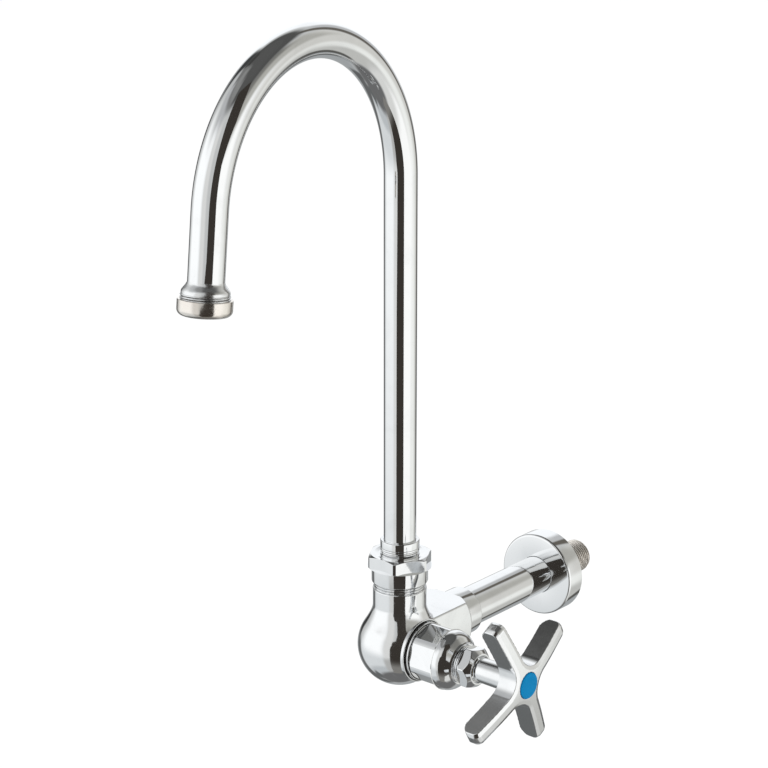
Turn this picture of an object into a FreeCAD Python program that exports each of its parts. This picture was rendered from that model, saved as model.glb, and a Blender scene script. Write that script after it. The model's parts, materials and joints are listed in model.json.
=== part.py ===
import FreeCAD, Part
import math
import os

# Wall-mounted faucet with a swivel gooseneck and a cross handle. Millimetres, +Z up.
# The origin is on the inlet axis in the plane of the wall. +Y goes into the wall and
# +X goes out along the handle's axis.

Vector = FreeCAD.Vector
Placement = FreeCAD.Placement
Rotation = FreeCAD.Rotation

# Overall places
wall_to_riser = 150.0
ball_drop = 1.5
spout_rest_angle = 5.46
handle_rest_angle = 28.5

# Clearances: a part that turns or slides, a fixed fit, flat faces that rub,
# and the end of a screw or spigot in its hole
running = 0.08
fixed_fit = 0.05
rubbing = 0.05
end_gap = 0.4

# Small roundings, and how far a cut or a limit runs past what it trims
fine_edge = 0.3
soft_edge = 0.5
overrun = 1.0

# Share of a thread's pitch that its crest takes
crest_share = 0.45

# Ball body
ball_radius = 25.0
neck_radius = 15.9
neck_fillet = 5.0
neck_height = 36.0
neck_thread_length = 9.0
neck_thread_radius = 15.5
neck_thread_depth = 0.7
neck_thread_pitch = 1.5
neck_bore_depth = 23.0
arm_half_width = 17.9
arm_half_height = 16.9
arm_crown = 0.7
arm_edge_radius = 1.0
arm_end = 46.0
arm_end_radius = 18.6
arm_start = 1.0
port_radius = 19.0
port_stand = 2.05
port_chamfer = 0.7
port_start = 6.0

# Waterways inside the ball
valve_chamber_radius = 12.0
valve_chamber_floor = 3.0
seat_well_radius = 5.5
seat_well_depth = 15.5
seat_feed_radius = 4.5
seat_feed_offset = 8.0
riser_feed_radius = 4.4
riser_feed_offset = 3.5
riser_feed_wall = 0.5
inlet_bore_radius = 8.0
inlet_bore_start = 16.5
inlet_thread_length = 22.0

# Valve seat
seat_thread_radius = 7.5
seat_length = 5.8
seat_lip_height = 0.7
seat_lip_radius = 6.6
seat_hole_radius = 5.0

# Jumper that carries the seat washer, and its screw
seat_washer_radius = 8.0
seat_washer_thickness = 3.2
washer_cup_wall = 0.7
washer_cup_depth = 1.6
washer_plate = 1.8
jumper_pin_radius = 3.0
jumper_pin_length = 9.0
seat_screw_radius = 1.5
seat_screw_length = 6.0
seat_screw_head_radius = 3.0
seat_screw_head = 1.2
seat_screw_sink = 0.2
seat_screw_slot_width = 0.8
seat_screw_slot_depth = 0.6

# Bonnet
bonnet_gasket_thickness = 1.1
bonnet_gasket_radius = 16.7
bonnet_thread_radius = 14.9
bonnet_thread_length = 10.0
bonnet_flange_radius = 17.6
bonnet_flange_thickness = 1.3
bonnet_hex_flats = 31.5
bonnet_hex_length = 17.3
bonnet_hex_angle = 17.5
bonnet_hex_chamfer = (2.0, 1.5)
bonnet_dome_radius = 17.9
bonnet_dome_length = 10.6
bonnet_dome_straight = 5.0
bonnet_dome_shoulder = 9.0
bonnet_nose_radius = 12.2
bonnet_nose_length = 1.1
bonnet_nose_step = 0.6
bonnet_nose_edge = 2.0
bonnet_chamber_radius = 9.8
bonnet_chamber_depth = 5.5
packing_depth = 12.6
gland_thread_depth_in_bonnet = 6.6

# Stem
stem_thread_radius = 7.0
stem_thread_length = 17.0
stem_thread_pitch = 2.5
stem_thread_depth = 1.0
stem_shaft_radius = 5.0
stem_foot_radius = 6.5
stem_square_flats = 8.0
stem_screw_depth = 13.0

# Packing and gland
packing_radius = 8.5
packing_washer_thickness = 1.2
packing_ring_length = 4.2
gland_thread_radius = 11.2
gland_thread_depth = 0.8
gland_thread_pitch = 1.25
gland_standoff = 3.9
gland_hex_length = 8.1
gland_hex_flats = 22.2
gland_hex_angle = 48.5
gland_hex_chamfer = (0.5, 0.7)
gland_face_radius = 9.3
gland_dome_drop = 3.8
gland_dome_edge = 1.5
gland_core_radius = 9.2
gland_recess_radius = 8.2
gland_recess_depth = 3.6

# Cross handle
hub_rear_gap = 0.8
hub_rear_radius = 7.2
hub_front_radius = 7.6
hub_length = 24.8
hub_round_bore = 4.2
hub_overlap = 2.0
cross_thickness = 13.3
cross_arm_half_width = 4.4
cross_arm_reach = 46.0
cross_arm_sweep = 5.6
cross_rear_sweep = 4.0
cross_flat_radius = 10.0
cross_blend_radius = 12.3
cross_front_bend = 12.0
cross_rear_bend = 8.0
cross_tip_front_corner = 3.2
cross_tip_rear_corner = 6.4
cross_bevel = 1.1
handle_web = 1.6
screw_hole_radius = 2.6
screw_well_radius = 5.9
button_radius = 7.6
button_thickness = 2.3
button_crown = 0.35
button_ring_height = 1.2
button_ring_wall = 0.8
button_ring_gap = 0.1
button_lip = 0.45

# Handle screw
handle_screw_radius = 2.45
handle_screw_length = 14.0
handle_screw_head_radius = 4.4
handle_screw_head = 2.0
lock_washer_radius = 4.4
lock_washer_thickness = 0.8
screw_key_flats = 3.0
screw_key_depth = 1.2

# Swivel nut and the rings in it
nut_skirt_radius = 16.65
nut_skirt_length = 9.5
nut_hex_length = 7.8
nut_hex_flats = 34.2
nut_foot_chamfer = (0.4, 0.33)
nut_top_chamfer = (1.9, 0.9)
nut_dish_radius = 15.0
nut_dish_depth = 0.8
nut_dish_floor = 1.2
nut_roof = 7.2
thrust_washer_thickness = 1.0
slip_ring_thickness = 0.8

# Spout stem
spout_stem_radius = 10.5
spout_stem_bore = 6.5
spout_shoulder_radius = 14.3
spout_shoulder_thickness = 3.4
spout_collar_radius = 11.5
spout_collar_height = 8.5
spout_collar_groove_drop = 5.7
spout_collar_groove_width = 0.9
spout_collar_groove_depth = 0.35
tube_socket_depth = 12.0
o_ring_section = 0.92
o_ring_drops = (17.0, 10.0)
o_ring_groove_width = 2.4
o_ring_bed = 0.02

# Gooseneck
tube_radius = 9.525
tube_wall = 1.2
riser_length = 227.4
bend_radius = 84.5
bend_angle = 173.25
leg_length = 34.9

# Outlet, measured along its own axis from the end of the tube
adapter_spigot_length = 8.0
adapter_bore = 7.2
adapter_funnel = 3.0
flare_radius = 12.45
flare_length = 5.6
flare_edge = 1.2
flare_land = 0.6
outlet_thread_length = 7.0
outlet_thread_radius = 12.85
outlet_thread_depth = 0.5
outlet_thread_pitch = 1.25
housing_overlap = 4.2
housing_radius = 14.2
housing_edge_radius = 3.3
housing_lip = 1.7
housing_opening_radius = 9.95
aerator_washer_thickness = 1.1
aerator_washer_hole = 8.6
screen_thickness = 0.35
screen_hole_radius = 0.75
screen_hole_pitch = 2.4
screen_hole_rings = 4
insert_flange = 1.15
insert_recess = 0.4
insert_hole_radius = 1.25
insert_hole_pitch = 3.7
insert_hole_rings = 2

# Inlet pipe, collar, nipple and flange
pipe_radius = 12.0
pipe_bore = 8.0
pipe_thread_radius = 10.2
pipe_wall_gap = 3.0
inlet_gasket_thickness = 0.9
inlet_gasket_radius = 14.2
collar_radius = 14.75
collar_length = 14.6
collar_edge_radius = 0.8
wall_thread_radius = 10.478
wall_thread_depth = 0.75
wall_thread_pitch = 1.814
nipple_engagement = 20.0
nipple_spigot_radius = 9.7
nipple_reach = 32.4
nipple_bore = 7.6
nipple_lead = 1.0
flange_radius = 26.5
flange_depth = 13.35
flange_wall = 1.6
flange_edge_radius = 0.9
flange_inner_edge = 0.8
flange_hub_radius = 15.8
flange_hub_length = 9.0
grip_ring_section = 0.9
grip_ring_depth = 5.95
grip_groove_width = 2.2

# Frames. The third axis of each is the one that its pieces are turned about.
ball_centre = Vector(0, -wall_to_riser, -ball_drop)
up_frame = Placement(ball_centre, Rotation())
handle_frame = Placement(ball_centre, Rotation(Vector(1, 1, 1), 120))
handle_turn = Placement(Vector(), Rotation(Vector(0, 0, 1), handle_rest_angle))
turned_handle_frame = handle_frame.multiply(handle_turn)
inlet_frame = Placement(Vector(0, -wall_to_riser, 0), Rotation(Vector(1, 1, 1), 240))
spout_frame = Placement(ball_centre, Rotation(Vector(0, 0, 1), spout_rest_angle))

# Places up the neck, from the ball's centre
neck_top = neck_height + neck_thread_length
neck_bore_floor = neck_top - neck_bore_depth
shoulder_foot = neck_top + thrust_washer_thickness + rubbing
shoulder_top = shoulder_foot + spout_shoulder_thickness
nut_ceiling = shoulder_top + rubbing + slip_ring_thickness
nut_top = nut_ceiling + nut_roof
nut_hex_foot = nut_top - nut_hex_length
nut_skirt_foot = nut_hex_foot - nut_skirt_length
spout_collar_top = nut_top + spout_collar_height
tube_foot = spout_collar_top - tube_socket_depth
bend_height = tube_foot + riser_length

# Places along the handle's axis, from the ball's centre. The port stands out of the ball at its own radius.
port_face = math.sqrt(ball_radius ** 2 - port_radius ** 2) + port_stand
bonnet_bore_floor = port_face - bonnet_thread_length
seat_face = valve_chamber_floor + seat_lip_height
washer_face = seat_face + rubbing
washer_back = washer_face + seat_washer_thickness
plate_top = washer_back + washer_plate
seat_screw_seat = washer_face + seat_screw_sink + seat_screw_head
seat_screw_end = seat_screw_seat + seat_screw_length
stem_foot = plate_top + rubbing
bonnet_foot = bonnet_bore_floor + end_gap
bonnet_flange_foot = port_face + bonnet_gasket_thickness
bonnet_hex_foot = bonnet_flange_foot + bonnet_flange_thickness
bonnet_dome_foot = bonnet_hex_foot + bonnet_hex_length
bonnet_top = bonnet_dome_foot + bonnet_dome_length
stem_thread_foot = bonnet_foot + bonnet_chamber_depth
stem_thread_top = stem_thread_foot + stem_thread_length
packing_floor = bonnet_top - packing_depth
packing_top = packing_floor + packing_washer_thickness + packing_ring_length
gland_foot = bonnet_top - gland_thread_depth_in_bonnet
gland_hex_foot = bonnet_top + gland_standoff
gland_top = gland_hex_foot + gland_hex_length
gland_recess_floor = gland_top - gland_recess_depth
hub_rear = gland_recess_floor + hub_rear_gap
cross_rear = hub_rear + hub_length
cross_front = cross_rear + cross_thickness
stem_square_foot = hub_rear + hub_round_bore
button_back = cross_front - button_thickness
screw_head_top = button_back - button_ring_height - button_ring_gap
screw_head_foot = screw_head_top - handle_screw_head
web_top = screw_head_foot - lock_washer_thickness
web_foot = web_top - handle_web
stem_end = web_foot - end_gap

# Places down the outlet, from the end of the tube
outlet_thread_start = flare_length + flare_land
outlet_thread_end = outlet_thread_start + outlet_thread_length
housing_start = outlet_thread_end - housing_overlap
aerator_washer_end = outlet_thread_end + aerator_washer_thickness
screen_end = aerator_washer_end + screen_thickness
housing_ledge = screen_end + insert_flange
housing_end = housing_ledge + housing_lip

# Places along the inlet, from the riser's axis
pipe_start = arm_end - inlet_thread_length + end_gap
pipe_shoulder = arm_end + inlet_gasket_thickness
collar_end = pipe_shoulder + collar_length
pipe_end = wall_to_riser - pipe_wall_gap
nipple_start = pipe_end - nipple_engagement
nipple_end = wall_to_riser + nipple_reach
flange_face = wall_to_riser - flange_depth
grip_ring_place = flange_face + grip_ring_depth


def corner_points(before, corner, after, radius):
    """Where a round corner starts, its middle and where it ends."""
    back = (before - corner).normalize()
    ahead = (after - corner).normalize()
    half = math.acos(max(-1.0, min(1.0, back.dot(ahead)))) / 2
    reach = radius / math.tan(half)
    middle_way = (back + ahead).normalize()
    centre = corner + middle_way * (radius / math.sin(half))
    return corner + back * reach, centre - middle_way * radius, corner + ahead * reach


def outline(corners):
    """Closed wire through (place, corner radius)."""
    places = [corner[0] for corner in corners]
    ends = []
    for index, (place, radius) in enumerate(corners):
        if radius > 0:
            after = places[(index + 1) % len(places)]
            ends.append(corner_points(places[index - 1], place, after, radius))
        else:
            ends.append((place, None, place))
    edges = []
    for index, (start, middle, end) in enumerate(ends):
        if middle is not None:
            edges.append(Part.Arc(start, middle, end).toShape())
        following = ends[(index + 1) % len(ends)][0]
        if end.distanceToPoint(following) > 1e-6:
            edges.append(Part.LineSegment(end, following).toShape())
    return Part.Wire(edges)


def placed(shape, frame):
    moved = shape.copy()
    moved.Placement = frame.multiply(shape.Placement)
    return moved


def turned(points, frame):
    """Solid turned about the frame's third axis, from (radius, along) with an optional corner radius."""
    corners = []
    for point in points:
        corners.append((Vector(point[0], 0, point[1]), point[2] if len(point) > 2 else 0))
    solid = Part.Face(outline(corners)).revolve(Vector(0, 0, 0), Vector(0, 0, 1), 360)
    return placed(solid, frame)


def ring(inner, outer, start, end, frame):
    return turned([(inner, start), (outer, start), (outer, end), (inner, end)], frame)


def rod(radius, start, end, frame, across=(0, 0)):
    bar = Part.makeCylinder(radius, end - start, Vector(across[0], across[1], start))
    return placed(bar, frame)


def round_ring(centre_radius, section_radius, along, frame):
    ring_shape = Part.makeTorus(centre_radius, section_radius)
    ring_shape.translate(Vector(0, 0, along))
    return placed(ring_shape, frame)


def corner_radius(flats):
    """Distance from a hexagon's centre to its corners."""
    return flats / math.sqrt(3)


def hexagon(flats, start, end, frame, turn=0.0):
    """Hexagonal bar. The turn gives the place of its first corner."""
    corner = corner_radius(flats)
    corners = []
    for side in range(7):
        angle = math.radians(turn + 60 * side)
        corners.append(Vector(corner * math.cos(angle), corner * math.sin(angle), start))
    bar = Part.Face(Part.makePolygon(corners)).extrude(Vector(0, 0, end - start))
    return placed(bar, frame)


def foot_limit(flats, chamfer, start):
    """Outline that cuts a hexagon's corners at its foot. The chamfer is (across, along)."""
    corner = corner_radius(flats)
    across, along = chamfer
    over = (across + overrun) / across
    return [(0, start), (corner - across, start), (corner + overrun, start + along * over)]


def top_limit(flats, chamfer, end):
    corner = corner_radius(flats)
    across, along = chamfer
    over = (across + overrun) / across
    return [(corner + overrun, end - along * over), (corner - across, end), (0, end)]


def square_bar(flats, start, end, frame):
    bar = Part.makeBox(flats, flats, end - start, Vector(-flats / 2, -flats / 2, start))
    return placed(bar, frame)


def thread_lines(crest, depth, start, end, pitch):
    """Outline of a threaded stretch as rings of the thread's pitch."""
    points = []
    rings = int((end - start) / pitch)
    for index in range(rings):
        foot = start + index * pitch
        points.append((crest, foot))
        points.append((crest, foot + crest_share * pitch))
        points.append((crest - depth, foot + (1 + crest_share) / 2 * pitch))
    plain_foot = start + rings * pitch
    points.append((crest, plain_foot))
    if end - plain_foot > 0.01:
        points.append((crest, end))
    return points


def hole_grid(radius, pitch, rings, start, end, frame):
    """Rods on a triangular grid, to cut a sieve."""
    rods = []
    for row in range(-rings, rings + 1):
        count = 2 * rings + 1 - abs(row)
        for column in range(count):
            across = ((column - (count - 1) / 2) * pitch, row * pitch * math.sqrt(3) / 2)
            rods.append(rod(radius, start, end, frame, across))
    return rods


def sharp_edges(solid, above):
    """Edges above a height where two faces meet at a corner of over 20 degrees."""
    sharp = []
    for edge in solid.Edges:
        faces = solid.ancestorsOfType(edge, Part.Face)
        if edge.BoundBox.ZMin < above or len(faces) < 2:
            continue
        middle = edge.valueAt((edge.FirstParameter + edge.LastParameter) / 2)
        normals = [face.normalAt(*face.Surface.parameter(middle)) for face in faces]
        if normals[0].getAngle(normals[1]) > math.radians(20):
            sharp.append(edge)
    return sharp


def make_ball():
    """Ball with the neck on top, joined by a round fillet."""
    reach = ball_radius + neck_fillet
    fillet_across = neck_radius + neck_fillet
    fillet_up = math.sqrt(reach ** 2 - fillet_across ** 2)
    join = Vector(fillet_across, 0, fillet_up) * (ball_radius / reach)
    join_turn = math.degrees(math.atan2(join.z - fillet_up, join.x - fillet_across)) % 360
    fillet_turn = math.radians((180 + join_turn) / 2)
    middle = Vector(fillet_across + neck_fillet * math.cos(fillet_turn), 0,
                    fillet_up + neck_fillet * math.sin(fillet_turn))
    side_angle = math.atan2(join.z, join.x) / 2 - math.pi / 4
    side = Vector(ball_radius * math.cos(side_angle), 0, ball_radius * math.sin(side_angle))
    foot = Vector(0, 0, -ball_radius)
    thread = thread_lines(neck_thread_radius, neck_thread_depth, neck_height, neck_top, neck_thread_pitch)
    corners = [Vector(neck_radius, 0, fillet_up), Vector(neck_radius, 0, neck_height)]
    corners += [Vector(radius, 0, along) for radius, along in thread]
    corners.append(Vector(0, 0, neck_top))
    corners.append(foot)
    edges = [Part.Arc(foot, side, join).toShape(), Part.Arc(join, middle, corners[0]).toShape()]
    edges += [Part.LineSegment(one, two).toShape() for one, two in zip(corners, corners[1:])]
    ball = Part.Face(Part.Wire(edges)).revolve(Vector(0, 0, 0), Vector(0, 0, 1), 360)
    return placed(ball, up_frame)


def make_arm():
    """Four-sided arm towards the wall, with slightly crowned sides and a turned end."""
    wide = arm_half_width
    high = arm_half_height
    corners = [Vector(wide, 0, high), Vector(-wide, 0, high), Vector(-wide, 0, -high),
               Vector(wide, 0, -high)]
    crowns = [Vector(0, 0, high + arm_crown), Vector(-wide - arm_crown, 0, 0),
              Vector(0, 0, -high - arm_crown), Vector(wide + arm_crown, 0, 0)]
    sides = []
    for index in range(4):
        sides.append(Part.Arc(corners[index], crowns[index], corners[(index + 1) % 4]).toShape())
    arm_length = arm_end - arm_start
    bar = Part.Face(Part.Wire(sides)).extrude(Vector(0, arm_length, 0))
    long_edges = [edge for edge in bar.Edges if abs(edge.BoundBox.YLength - arm_length) < 0.01]
    bar = bar.makeFillet(arm_edge_radius, long_edges)
    bar.translate(ball_centre + Vector(0, arm_start, 0))
    outer = 2 * ball_radius
    limit = turned([(0, 0), (outer, 0), (outer, arm_end + arm_end_radius - outer), (arm_end_radius, arm_end),
                    (0, arm_end)], inlet_frame)
    return bar.common(limit)


def make_valve_body():
    """Ball, neck, arm and port in one casting, with its waterways."""
    port = turned([(0, port_start), (port_radius, port_start), (port_radius, port_face - port_chamfer),
                   (port_radius - port_chamfer, port_face), (0, port_face)], handle_frame)
    body = make_ball().fuse([make_arm(), port])
    seat_bore = seat_thread_radius + fixed_fit
    cuts = [
        rod(spout_stem_radius + running, neck_bore_floor, neck_top, up_frame),
        rod(riser_feed_radius, seat_bore + riser_feed_wall, neck_top, up_frame, (riser_feed_offset, 0)),
        rod(port_radius, port_face, ball_radius + overrun, handle_frame),
        rod(bonnet_thread_radius + fixed_fit, bonnet_bore_floor, port_face, handle_frame),
        rod(valve_chamber_radius, valve_chamber_floor, bonnet_bore_floor, handle_frame),
        rod(seat_bore, valve_chamber_floor - seat_length, valve_chamber_floor, handle_frame),
        rod(seat_well_radius, valve_chamber_floor - seat_well_depth, valve_chamber_floor, handle_frame),
        rod(pipe_thread_radius + fixed_fit, arm_end - inlet_thread_length, arm_end, inlet_frame),
        rod(inlet_bore_radius, inlet_bore_start, arm_end, inlet_frame),
        rod(seat_feed_radius, 0, inlet_bore_start + overrun, inlet_frame, (0, -seat_feed_offset)),
    ]
    return body.cut(cuts).removeSplitter()


def make_valve_seat():
    foot = valve_chamber_floor - seat_length
    return turned([(seat_hole_radius, foot), (seat_thread_radius, foot),
                   (seat_thread_radius, valve_chamber_floor), (seat_lip_radius, valve_chamber_floor),
                   (seat_lip_radius, seat_face, fine_edge), (seat_hole_radius, seat_face, fine_edge)],
                  handle_frame)


def make_jumper():
    """The disc that the stem lifts, its rubber washer and the screw through both."""
    cup_radius = seat_washer_radius + fixed_fit
    cup_outer = cup_radius + washer_cup_wall
    cup_foot = washer_back - washer_cup_depth
    pin_top = plate_top + jumper_pin_length
    hole = seat_screw_radius + fixed_fit
    hole_end = seat_screw_end + end_gap
    head_hole = seat_screw_head_radius + fixed_fit
    head_foot = seat_screw_seat - seat_screw_head
    holder = turned([(0, hole_end), (hole, hole_end), (hole, washer_back), (cup_radius, washer_back),
                     (cup_radius, cup_foot), (cup_outer, cup_foot), (cup_outer, plate_top, soft_edge),
                     (jumper_pin_radius, plate_top), (jumper_pin_radius, pin_top, soft_edge), (0, pin_top)],
                    handle_frame)
    washer = turned([(hole, seat_screw_seat), (head_hole, seat_screw_seat), (head_hole, washer_face),
                     (seat_washer_radius, washer_face, fine_edge), (seat_washer_radius, washer_back),
                     (hole, washer_back)], handle_frame)
    screw = turned([(0, head_foot), (seat_screw_head_radius, head_foot, fine_edge),
                    (seat_screw_head_radius, seat_screw_seat), (seat_screw_radius, seat_screw_seat),
                    (seat_screw_radius, seat_screw_end), (0, seat_screw_end)], handle_frame)
    slot = Part.makeBox(2 * head_hole, seat_screw_slot_width, seat_screw_slot_depth,
                        Vector(-head_hole, -seat_screw_slot_width / 2, head_foot))
    return holder, washer, screw.cut(placed(slot, handle_frame))


def make_bonnet():
    """Threaded spigot, flange, hexagon and domed collar in one piece."""
    core = turned([(0, bonnet_foot), (bonnet_thread_radius, bonnet_foot),
                   (bonnet_thread_radius, bonnet_flange_foot),
                   (bonnet_flange_radius, bonnet_flange_foot, fine_edge),
                   (bonnet_flange_radius, bonnet_hex_foot, fine_edge),
                   (bonnet_thread_radius, bonnet_hex_foot), (bonnet_thread_radius, bonnet_dome_foot),
                   (0, bonnet_dome_foot)], handle_frame)
    bar_top = bonnet_dome_foot + overrun
    bar = hexagon(bonnet_hex_flats, bonnet_hex_foot, bar_top, handle_frame, bonnet_hex_angle)
    bar_limit = turned(foot_limit(bonnet_hex_flats, bonnet_hex_chamfer, bonnet_hex_foot)
                       + [(corner_radius(bonnet_hex_flats) + overrun, bar_top), (0, bar_top)], handle_frame)
    nose_foot = bonnet_top - bonnet_nose_length
    dome = turned([(0, bonnet_dome_foot), (bonnet_dome_radius, bonnet_dome_foot, soft_edge),
                   (bonnet_dome_radius, bonnet_dome_foot + bonnet_dome_straight, bonnet_dome_shoulder),
                   (bonnet_nose_radius + bonnet_nose_step, nose_foot, bonnet_nose_edge),
                   (bonnet_nose_radius, bonnet_top), (0, bonnet_top)], handle_frame)
    solid = core.fuse([bar.common(bar_limit), dome])
    cuts = [
        rod(bonnet_chamber_radius, bonnet_foot, stem_thread_foot, handle_frame),
        rod(stem_thread_radius + running, stem_thread_foot, packing_floor, handle_frame),
        rod(packing_radius, packing_floor, gland_foot, handle_frame),
        rod(gland_thread_radius + fixed_fit, gland_foot, bonnet_top, handle_frame),
    ]
    return solid.cut(cuts).removeSplitter()


def make_bonnet_gasket():
    return ring(bonnet_thread_radius + fixed_fit, bonnet_gasket_radius, port_face, bonnet_flange_foot,
                handle_frame)


def make_packing():
    inner = stem_shaft_radius + running
    outer = packing_radius - fixed_fit
    washer_top = packing_floor + packing_washer_thickness
    washer = ring(inner, outer, packing_floor, washer_top, handle_frame)
    packing = ring(inner, outer, washer_top, packing_top, handle_frame)
    return washer, packing


def make_gland_nut():
    """Screw with a hexagon head, bored for the stem and recessed for the hub."""
    inner = stem_shaft_radius + running
    nose_radius = packing_radius - fixed_fit
    screw_foot = gland_foot + end_gap
    thread = thread_lines(gland_thread_radius, gland_thread_depth, screw_foot, gland_hex_foot,
                          gland_thread_pitch)
    core = turned([(inner, packing_top), (nose_radius, packing_top), (nose_radius, screw_foot)] + thread
                  + [(gland_core_radius, gland_hex_foot), (gland_core_radius, gland_recess_floor),
                     (inner, gland_recess_floor)], handle_frame)
    bar = hexagon(gland_hex_flats, gland_hex_foot, gland_top, handle_frame, gland_hex_angle)
    outer = corner_radius(gland_hex_flats) + overrun
    slope = gland_dome_drop / (corner_radius(gland_hex_flats) - gland_face_radius)
    limit = turned(foot_limit(gland_hex_flats, gland_hex_chamfer, gland_hex_foot)
                   + [(outer, gland_top - slope * (outer - gland_face_radius), gland_dome_edge),
                      (gland_face_radius, gland_top, soft_edge), (0, gland_top)], handle_frame)
    cuts = [rod(inner, packing_top, gland_top, handle_frame),
            rod(gland_recess_radius, gland_recess_floor, gland_top, handle_frame)]
    return core.fuse(bar.common(limit)).cut(cuts).removeSplitter()


def make_valve_stem():
    """Spindle with a bore for the jumper's pin, a coarse thread and a squared end."""
    pin_bore = jumper_pin_radius + running
    pin_end = stem_foot + jumper_pin_length + end_gap
    thread = thread_lines(stem_thread_radius, stem_thread_depth, stem_thread_foot, stem_thread_top,
                          stem_thread_pitch)
    spindle = turned([(0, pin_end), (pin_bore, pin_end), (pin_bore, stem_foot),
                      (stem_foot_radius, stem_foot, soft_edge), (stem_foot_radius, stem_thread_foot)] + thread
                     + [(stem_shaft_radius, stem_thread_top), (stem_shaft_radius, stem_square_foot),
                        (0, stem_square_foot)], handle_frame)
    square = square_bar(stem_square_flats, stem_square_foot, stem_end, turned_handle_frame)
    square = square.common(rod(stem_shaft_radius, stem_square_foot, stem_end, handle_frame))
    hole = rod(handle_screw_radius + fixed_fit, stem_end - stem_screw_depth, stem_end, handle_frame)
    return spindle.fuse(square).cut(hole).removeSplitter()


def make_cross():
    """Four arms swept back towards their rounded tips, with bevelled front edges, in the turned frame."""
    half = cross_arm_half_width
    corners = []
    for arm in range(4):
        angle = math.radians(90 * arm)
        along = Vector(math.cos(angle), math.sin(angle), 0)
        across = Vector(-math.sin(angle), math.cos(angle), 0)
        reach = along * (cross_arm_reach + overrun)
        corners.append((reach - across * half, 0))
        corners.append((reach + across * half, 0))
        corners.append(((along + across) * half, cross_blend_radius))
    tip_rear = cross_rear - cross_rear_sweep
    tip_front = cross_front - cross_arm_sweep
    star = Part.Face(outline(corners)).extrude(Vector(0, 0, cross_front - tip_rear + 2 * overrun))
    star.translate(Vector(0, 0, tip_rear - overrun))
    profile = [(0, cross_rear), (cross_flat_radius, cross_rear, cross_rear_bend),
               (cross_arm_reach - cross_tip_rear_corner, tip_rear),
               (cross_arm_reach, tip_rear, cross_tip_rear_corner),
               (cross_arm_reach, tip_front, cross_tip_front_corner),
               (cross_flat_radius, cross_front, cross_front_bend), (0, cross_front)]
    cross = star.common(turned(profile, Placement()))
    return cross.makeChamfer(cross_bevel, sharp_edges(cross, tip_rear + cross_tip_rear_corner - fixed_fit))


def make_cross_handle():
    """The cross on its hub, squared for the stem, with a well for the screw and the button."""
    hub_top = cross_rear + hub_overlap
    hub = turned([(0, hub_rear), (hub_rear_radius, hub_rear, soft_edge), (hub_front_radius, cross_rear),
                  (hub_front_radius, hub_top), (0, hub_top)], handle_frame)
    solid = placed(make_cross(), turned_handle_frame).fuse(hub).removeSplitter()
    shaft_hole = stem_shaft_radius + fixed_fit
    square = square_bar(stem_square_flats + 2 * fixed_fit, stem_square_foot, web_foot, turned_handle_frame)
    seat = button_radius + fixed_fit
    cuts = [
        square.common(rod(shaft_hole, stem_square_foot, web_foot, handle_frame)),
        rod(shaft_hole, hub_rear, stem_square_foot, handle_frame),
        rod(screw_hole_radius, web_foot, web_top, handle_frame),
        rod(screw_well_radius, web_top, cross_front, handle_frame),
        turned([(0, button_back), (seat, button_back), (seat, cross_front - button_lip),
                (seat + button_lip, cross_front), (0, cross_front)], handle_frame),
    ]
    return solid.cut(cuts).removeSplitter()


def make_handle_fasteners():
    """Lock washer, screw and blue button in the front of the handle."""
    washer = ring(handle_screw_radius + fixed_fit, lock_washer_radius, web_top, screw_head_foot, handle_frame)
    screw_end = screw_head_foot - handle_screw_length
    screw = turned([(0, screw_end), (handle_screw_radius, screw_end, soft_edge),
                    (handle_screw_radius, screw_head_foot), (handle_screw_head_radius, screw_head_foot),
                    (handle_screw_head_radius, screw_head_top, soft_edge), (0, screw_head_top)], handle_frame)
    key = hexagon(screw_key_flats, screw_head_top - screw_key_depth, screw_head_top, handle_frame)
    ring_outer = screw_well_radius - fixed_fit
    ring_inner = ring_outer - button_ring_wall
    ring_foot = button_back - button_ring_height
    button = turned([(0, button_back), (ring_inner, button_back), (ring_inner, ring_foot),
                     (ring_outer, ring_foot), (ring_outer, button_back), (button_radius, button_back),
                     (button_radius, cross_front - button_crown, fine_edge), (0, cross_front)], handle_frame)
    return washer, screw.cut(key), button


def make_swivel_nut():
    """Hexagon band over a round skirt, dished round the spout's collar."""
    bar = hexagon(nut_hex_flats, nut_hex_foot, nut_top, up_frame)
    limit = turned(foot_limit(nut_hex_flats, nut_foot_chamfer, nut_hex_foot)
                   + top_limit(nut_hex_flats, nut_top_chamfer, nut_top), up_frame)
    skirt_top = nut_hex_foot + overrun
    skirt = turned([(0, nut_skirt_foot), (nut_skirt_radius, nut_skirt_foot, soft_edge),
                    (nut_skirt_radius, skirt_top), (0, skirt_top)], up_frame)
    hole = spout_collar_radius + running
    dish_floor = nut_top - nut_dish_depth
    dish = turned([(0, dish_floor), (hole + nut_dish_floor, dish_floor), (nut_dish_radius, nut_top),
                   (0, nut_top)], up_frame)
    cuts = [rod(neck_thread_radius + fixed_fit, nut_skirt_foot, nut_ceiling, up_frame),
            rod(hole, nut_ceiling, nut_top, up_frame), dish]
    return bar.common(limit).fuse(skirt).cut(cuts).removeSplitter()


def make_swivel_rings():
    """Plastic rings below and above the spout's shoulder."""
    thrust = ring(spout_stem_radius + running, spout_shoulder_radius, neck_top,
                  neck_top + thrust_washer_thickness, up_frame)
    slip = ring(spout_collar_radius + running, neck_thread_radius - fixed_fit,
                nut_ceiling - slip_ring_thickness, nut_ceiling, up_frame)
    return thrust, slip


def o_ring_centre():
    return spout_stem_radius + running / 2 - o_ring_section


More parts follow.
